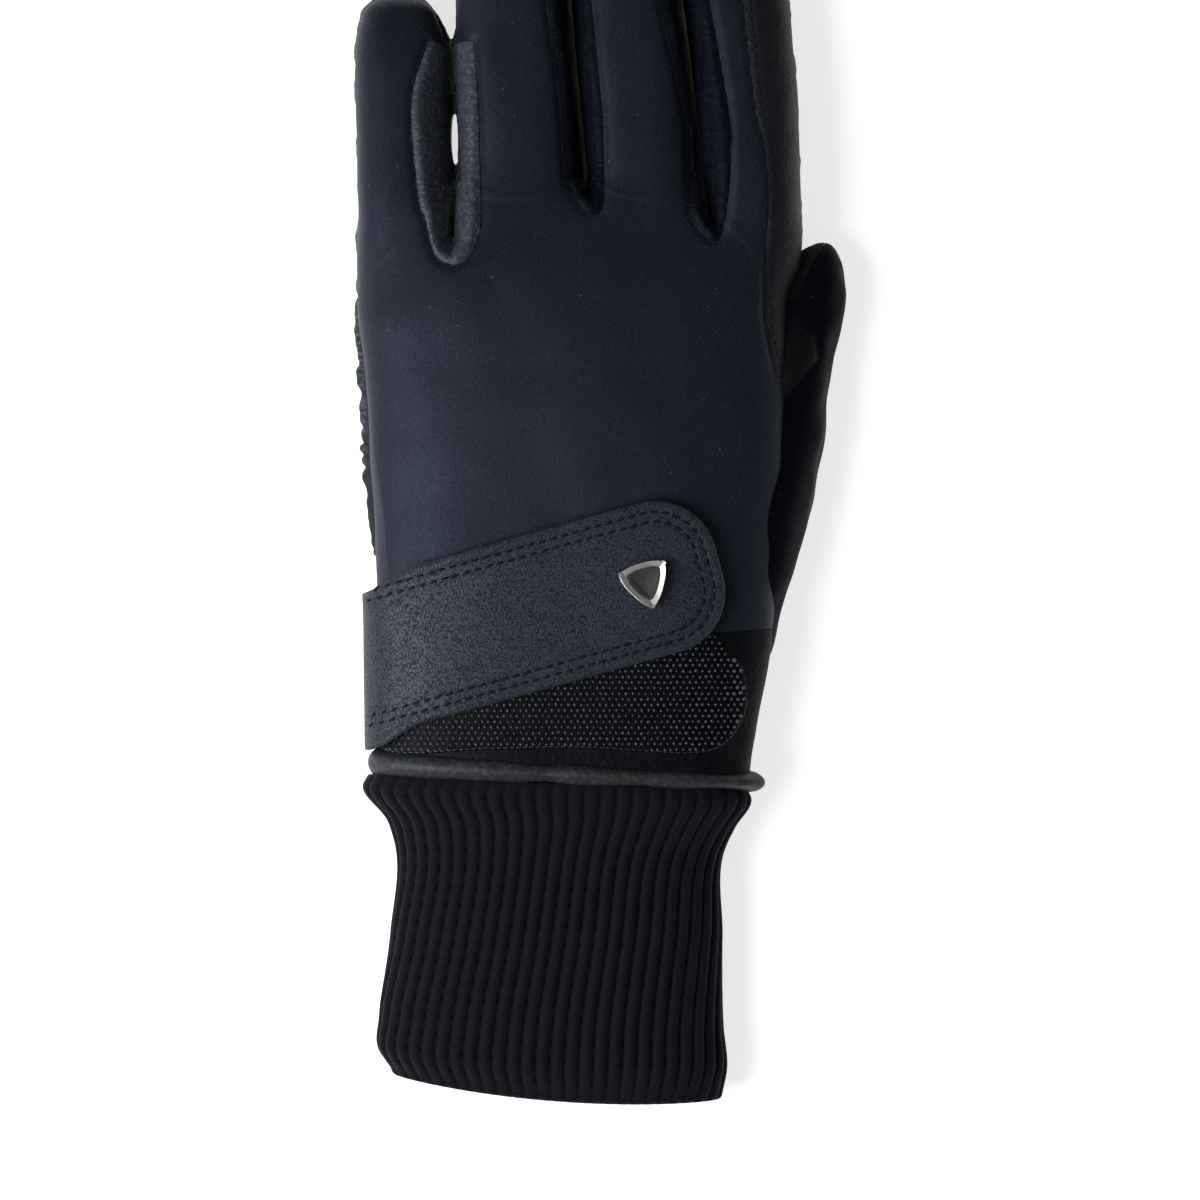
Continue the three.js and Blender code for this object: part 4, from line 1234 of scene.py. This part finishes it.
def piping_point(round_share, turn):
    spot = hem_section(turn)
    ahead = hem_section(turn + 0.002) - hem_section(turn - 0.002)
    outward = np.stack([ahead[:, 1], -ahead[:, 0]], axis=1) / np.linalg.norm(ahead, axis=1)[:, None]
    angle = 2 * np.pi * round_share
    full = 1 + wavy(np.stack([spot[:, 0], 0 * turn, spot[:, 1]], axis=1), piping_waves)
    full += bell(np.minimum(turn, 1 - turn) - piping_ends["right"], **right_swelling)
    full += bell(turn - piping_ends["left"], **left_swelling)
    out = piping_depth / 2 * (full * np.cos(angle) - piping_tuck)
    x = spot[:, 0] + outward[:, 0] * out
    z = np.maximum(0.1 * MM, spot[:, 1] + outward[:, 1] * out)
    return x, piping_y(x) + piping_half(x) * full * np.sin(angle), z


piping = bmesh.new()
wrapped(piping, piping_point, around=28, rows=420)
piping_leather = soft_leather("piping_leather", (0.034, 0.035, 0.038), (0.0017, 0.0012, 0.0017), gloss=0.45,
                              grain=0.0012, relief=0.0002, shine=0.3)
piece("hem_piping_leather", finished(piping), piping_leather, "leather", "hem_piping")


# The cuff. A long double rib knit in navy yarn, sewn on under the piping and turned in at its lower
# edge. Its ribs lean a little towards the little finger.
cuff_length = 79 * MM
cuff_ease = 0.9 * MM
cuff_height = 25 * MM
cuff_wall = 2.6 * MM
rib_count = 54
rib_depth = 1.2 * MM
rib_lean = -2.1
rib_roundness = 0.5
furrow_turn_step = 0.003
knit_row = 1.15 * MM
cuff_rings = dict(outside=150, fold=9, inside=24)
# at: share of the cuff's length. left, right: shares of half the hand's width. top, bed: shares of its
# height. swell: how much of the ribs' relief shows.
cuff_rows = [
    dict(at=0, left=-0.93, right=0.77, top=1, bed=0.06, swell=0.3),
    dict(at=0.035, left=-0.955, right=0.79, top=1.02, bed=0.04, swell=0.7),
    dict(at=0.155, left=-0.845, right=0.715, top=0.96, bed=0, swell=1),
    dict(at=0.22, left=-0.815, right=0.675, top=0.92, bed=0, swell=1),
    dict(at=0.52, left=-0.832, right=0.66, top=0.88, bed=0, swell=1),
    dict(at=0.8, left=-0.884, right=0.664, top=0.86, bed=0, swell=1),
    dict(at=0.93, left=-0.885, right=0.68, top=0.83, bed=0.01, swell=1),
    dict(at=1, left=-0.83, right=0.66, top=0.74, bed=0.07, swell=0.4),
]
edge_dip = dict(middle=0.06, lean=0.05)


def cuff_stations():
    """Shares of the length and insets of the knit's path: down outside, round the edge and up inside."""
    outside = [(at, 0.0) for at in np.linspace(0, 1, cuff_rings["outside"])]
    fold = [(1 + cuff_wall / cuff_length / 2 * math.sin(t), cuff_wall / 2 * (1 - math.cos(t)))
            for t in np.linspace(0, math.pi, cuff_rings["fold"])[1:-1]]
    inside = [(at, cuff_wall) for at in np.linspace(1, 0, cuff_rings["inside"])]
    return np.array([*outside, *fold, *inside, (0, 0.0)])


def cuff_point(around, share):
    stations = cuff_stations()
    row = np.rint(share * (len(stations) - 1)).astype(int)
    x, y, z = np.empty(len(share)), np.empty(len(share)), np.empty(len(share))
    fine = np.linspace(0, 1, 400)
    for i, (at, inset) in enumerate(stations):
        here = row == i
        left, right, top, bed, swell = (column(cuff_rows, name, min(at, 1))
                                        for name in ("left", "right", "top", "bed", "swell"))
        size = (across(left), across(right), top * cuff_height, bed * cuff_height, squareness["cuff"])
        ring = np.stack(section(fine, *size, cuff_ease - inset, -inset), axis=1)
        run = np.concatenate([[0], np.cumsum(np.linalg.norm(np.diff(ring, axis=0), axis=1))])
        turn = np.interp(around[here] * run[-1], run, fine)
        # Ribs are rounded, with narrow furrows between them.
        rib = np.abs(np.sin(np.pi * (around[here] * rib_count + rib_lean * at))) ** rib_roundness
        depth = rib_depth * swell * (1 - rib) * (1 if inset < cuff_wall / 2 else -0.4)
        px, pz = section(turn, *size, cuff_ease - inset, -inset)
        ax, az = section(turn + furrow_turn_step, *size, cuff_ease - inset, -inset)
        bx, bz = section(turn - furrow_turn_step, *size, cuff_ease - inset, -inset)
        reach = np.hypot(ax - bx, az - bz)
        x[here] = px - (az - bz) / reach * depth
        z[here] = np.maximum(pz + (ax - bx) / reach * depth, 0.05 * MM)
        hem = piping_y(x[here]) - piping_half(x[here])
        side = (x[here] - across((left + right) / 2)) / across(1)
        dip = cuff_length * (edge_dip["middle"] * side**2 - edge_dip["lean"] * side)
        top_line = along(piping_line["left"])
        y[here] = top_line - at * cuff_length
        y[here] += (1 - min(at, 1)) ** 3 * (hem - top_line) + min(at, 1) ** 4 * dip
    return x, y, z


def cuff_threads(around, share):
    """Where a place on the cuff lies, counted in ribs round it and in knitted rows down it."""
    stations = cuff_stations()
    at = stations[np.rint(share * (len(stations) - 1)).astype(int), 0]
    return around * rib_count + rib_lean * at, at * cuff_length / knit_row


def knit_finish():
    """Fine navy rib knit: a column of V stitches up each rib, and a little fuzz, with painted shade in the
    furrows between the ribs.
    """
    finish = Finish("rib_knit", sheen_weight=0.08, sheen_roughness=0.5, sheen_tint=(0.5, 0.6, 0.85, 1),
                    specular_ior_level=0.1)
    threads = finish.node("ShaderNodeTexCoord", output="UV")
    rib, row = (finish.node("ShaderNodeSeparateXYZ", {}, {0: threads}, axis) for axis in "XY")
    middle = (rib.shaped("FRACT") - 0.5).shaped("ABSOLUTE")
    stitch = ((row + 1.6 * middle) * (2 * math.pi)).shaped("SINE") * 0.5 + 0.5
    furrow = finish.step(middle, 0.3, 0.5)
    fuzz = finish.clouds(0.0006, 3)
    height = stitch * 0.4 + fuzz * 0.7
    base = finish.blend(height, (0.0014, 0.0017, 0.0028), (0.0052, 0.0062, 0.0094))
    # The furrows between the ribs are darkened nearly to black as painted shade.
    base = finish.blend(furrow * 0.8, base, (0.001, 0.0012, 0.002))
    finish.paint(base_color=base, roughness=0.85 - 0.1 * fuzz)
    finish.relief(height, 0.0003, 0.55)
    return finish.material


cuff = bmesh.new()
wrapped(cuff, cuff_point, around=rib_count * 8, rows=len(cuff_stations()) - 1, weave=cuff_threads)
piece("rib_cuff_knit", finished(cuff), knit_finish(), "rib_knit", "rib_cuff", sharp=80)


# The floor, the light and the camera. The photograph looks straight down from far away.
view_middle = Vector((5.9 * MM, -47 * MM, 25 * MM))
view_width = 282 * MM
lens = 135
sensor = 36


def lamp(name, place, size, power):
    light = bpy.data.lights.new(name, "AREA")
    light.shape = "RECTANGLE"
    light.size, light.size_y = size
    light.energy = power
    made = bpy.data.objects.new(name, light)
    made.location = place
    made.rotation_mode = "QUATERNION"
    made.rotation_quaternion = (view_middle - Vector(place)).to_track_quat("-Z", "Y")
    bpy.context.collection.objects.link(made)


floor_form = bmesh.new()
bmesh.ops.create_grid(floor_form, x_segments=1, y_segments=1, size=4)
bmesh.ops.translate(floor_form, verts=floor_form.verts, vec=(0, 0, -0.1 * MM))
floor = bpy.data.objects.new("floor", finished(floor_form))
floor_finish = Finish("floor", base_color=(0.86, 0.86, 0.86, 1), roughness=0.9, specular_ior_level=0.0,
                      emission_color=(1, 1, 1, 1), emission_strength=0.7)
floor.data.materials.append(floor_finish.material)
bpy.context.collection.objects.link(floor)
lamp("key_left", (-0.52, -0.2, 0.52), (0.45, 0.6), 7)
lamp("fill_right", (0.8, -0.5, 0.5), (0.6, 0.6), 0.6)
world = bpy.data.worlds.new("studio")
world.use_nodes = True
world.node_tree.nodes["Background"].inputs["Color"].default_value = (1, 1, 1, 1)
world.node_tree.nodes["Background"].inputs["Strength"].default_value = 0.15
bpy.context.scene.world = world
bpy.context.scene.view_settings.view_transform = "Standard"

camera_data = bpy.data.cameras.new("camera")
camera_data.lens = lens
camera_data.sensor_width = sensor
camera = bpy.data.objects.new("camera", camera_data)
camera.location = view_middle + Vector((0, 0, view_width * lens / sensor))
camera_data.clip_start, camera_data.clip_end = 0.05, 10
bpy.context.collection.objects.link(camera)
bpy.context.scene.camera = camera
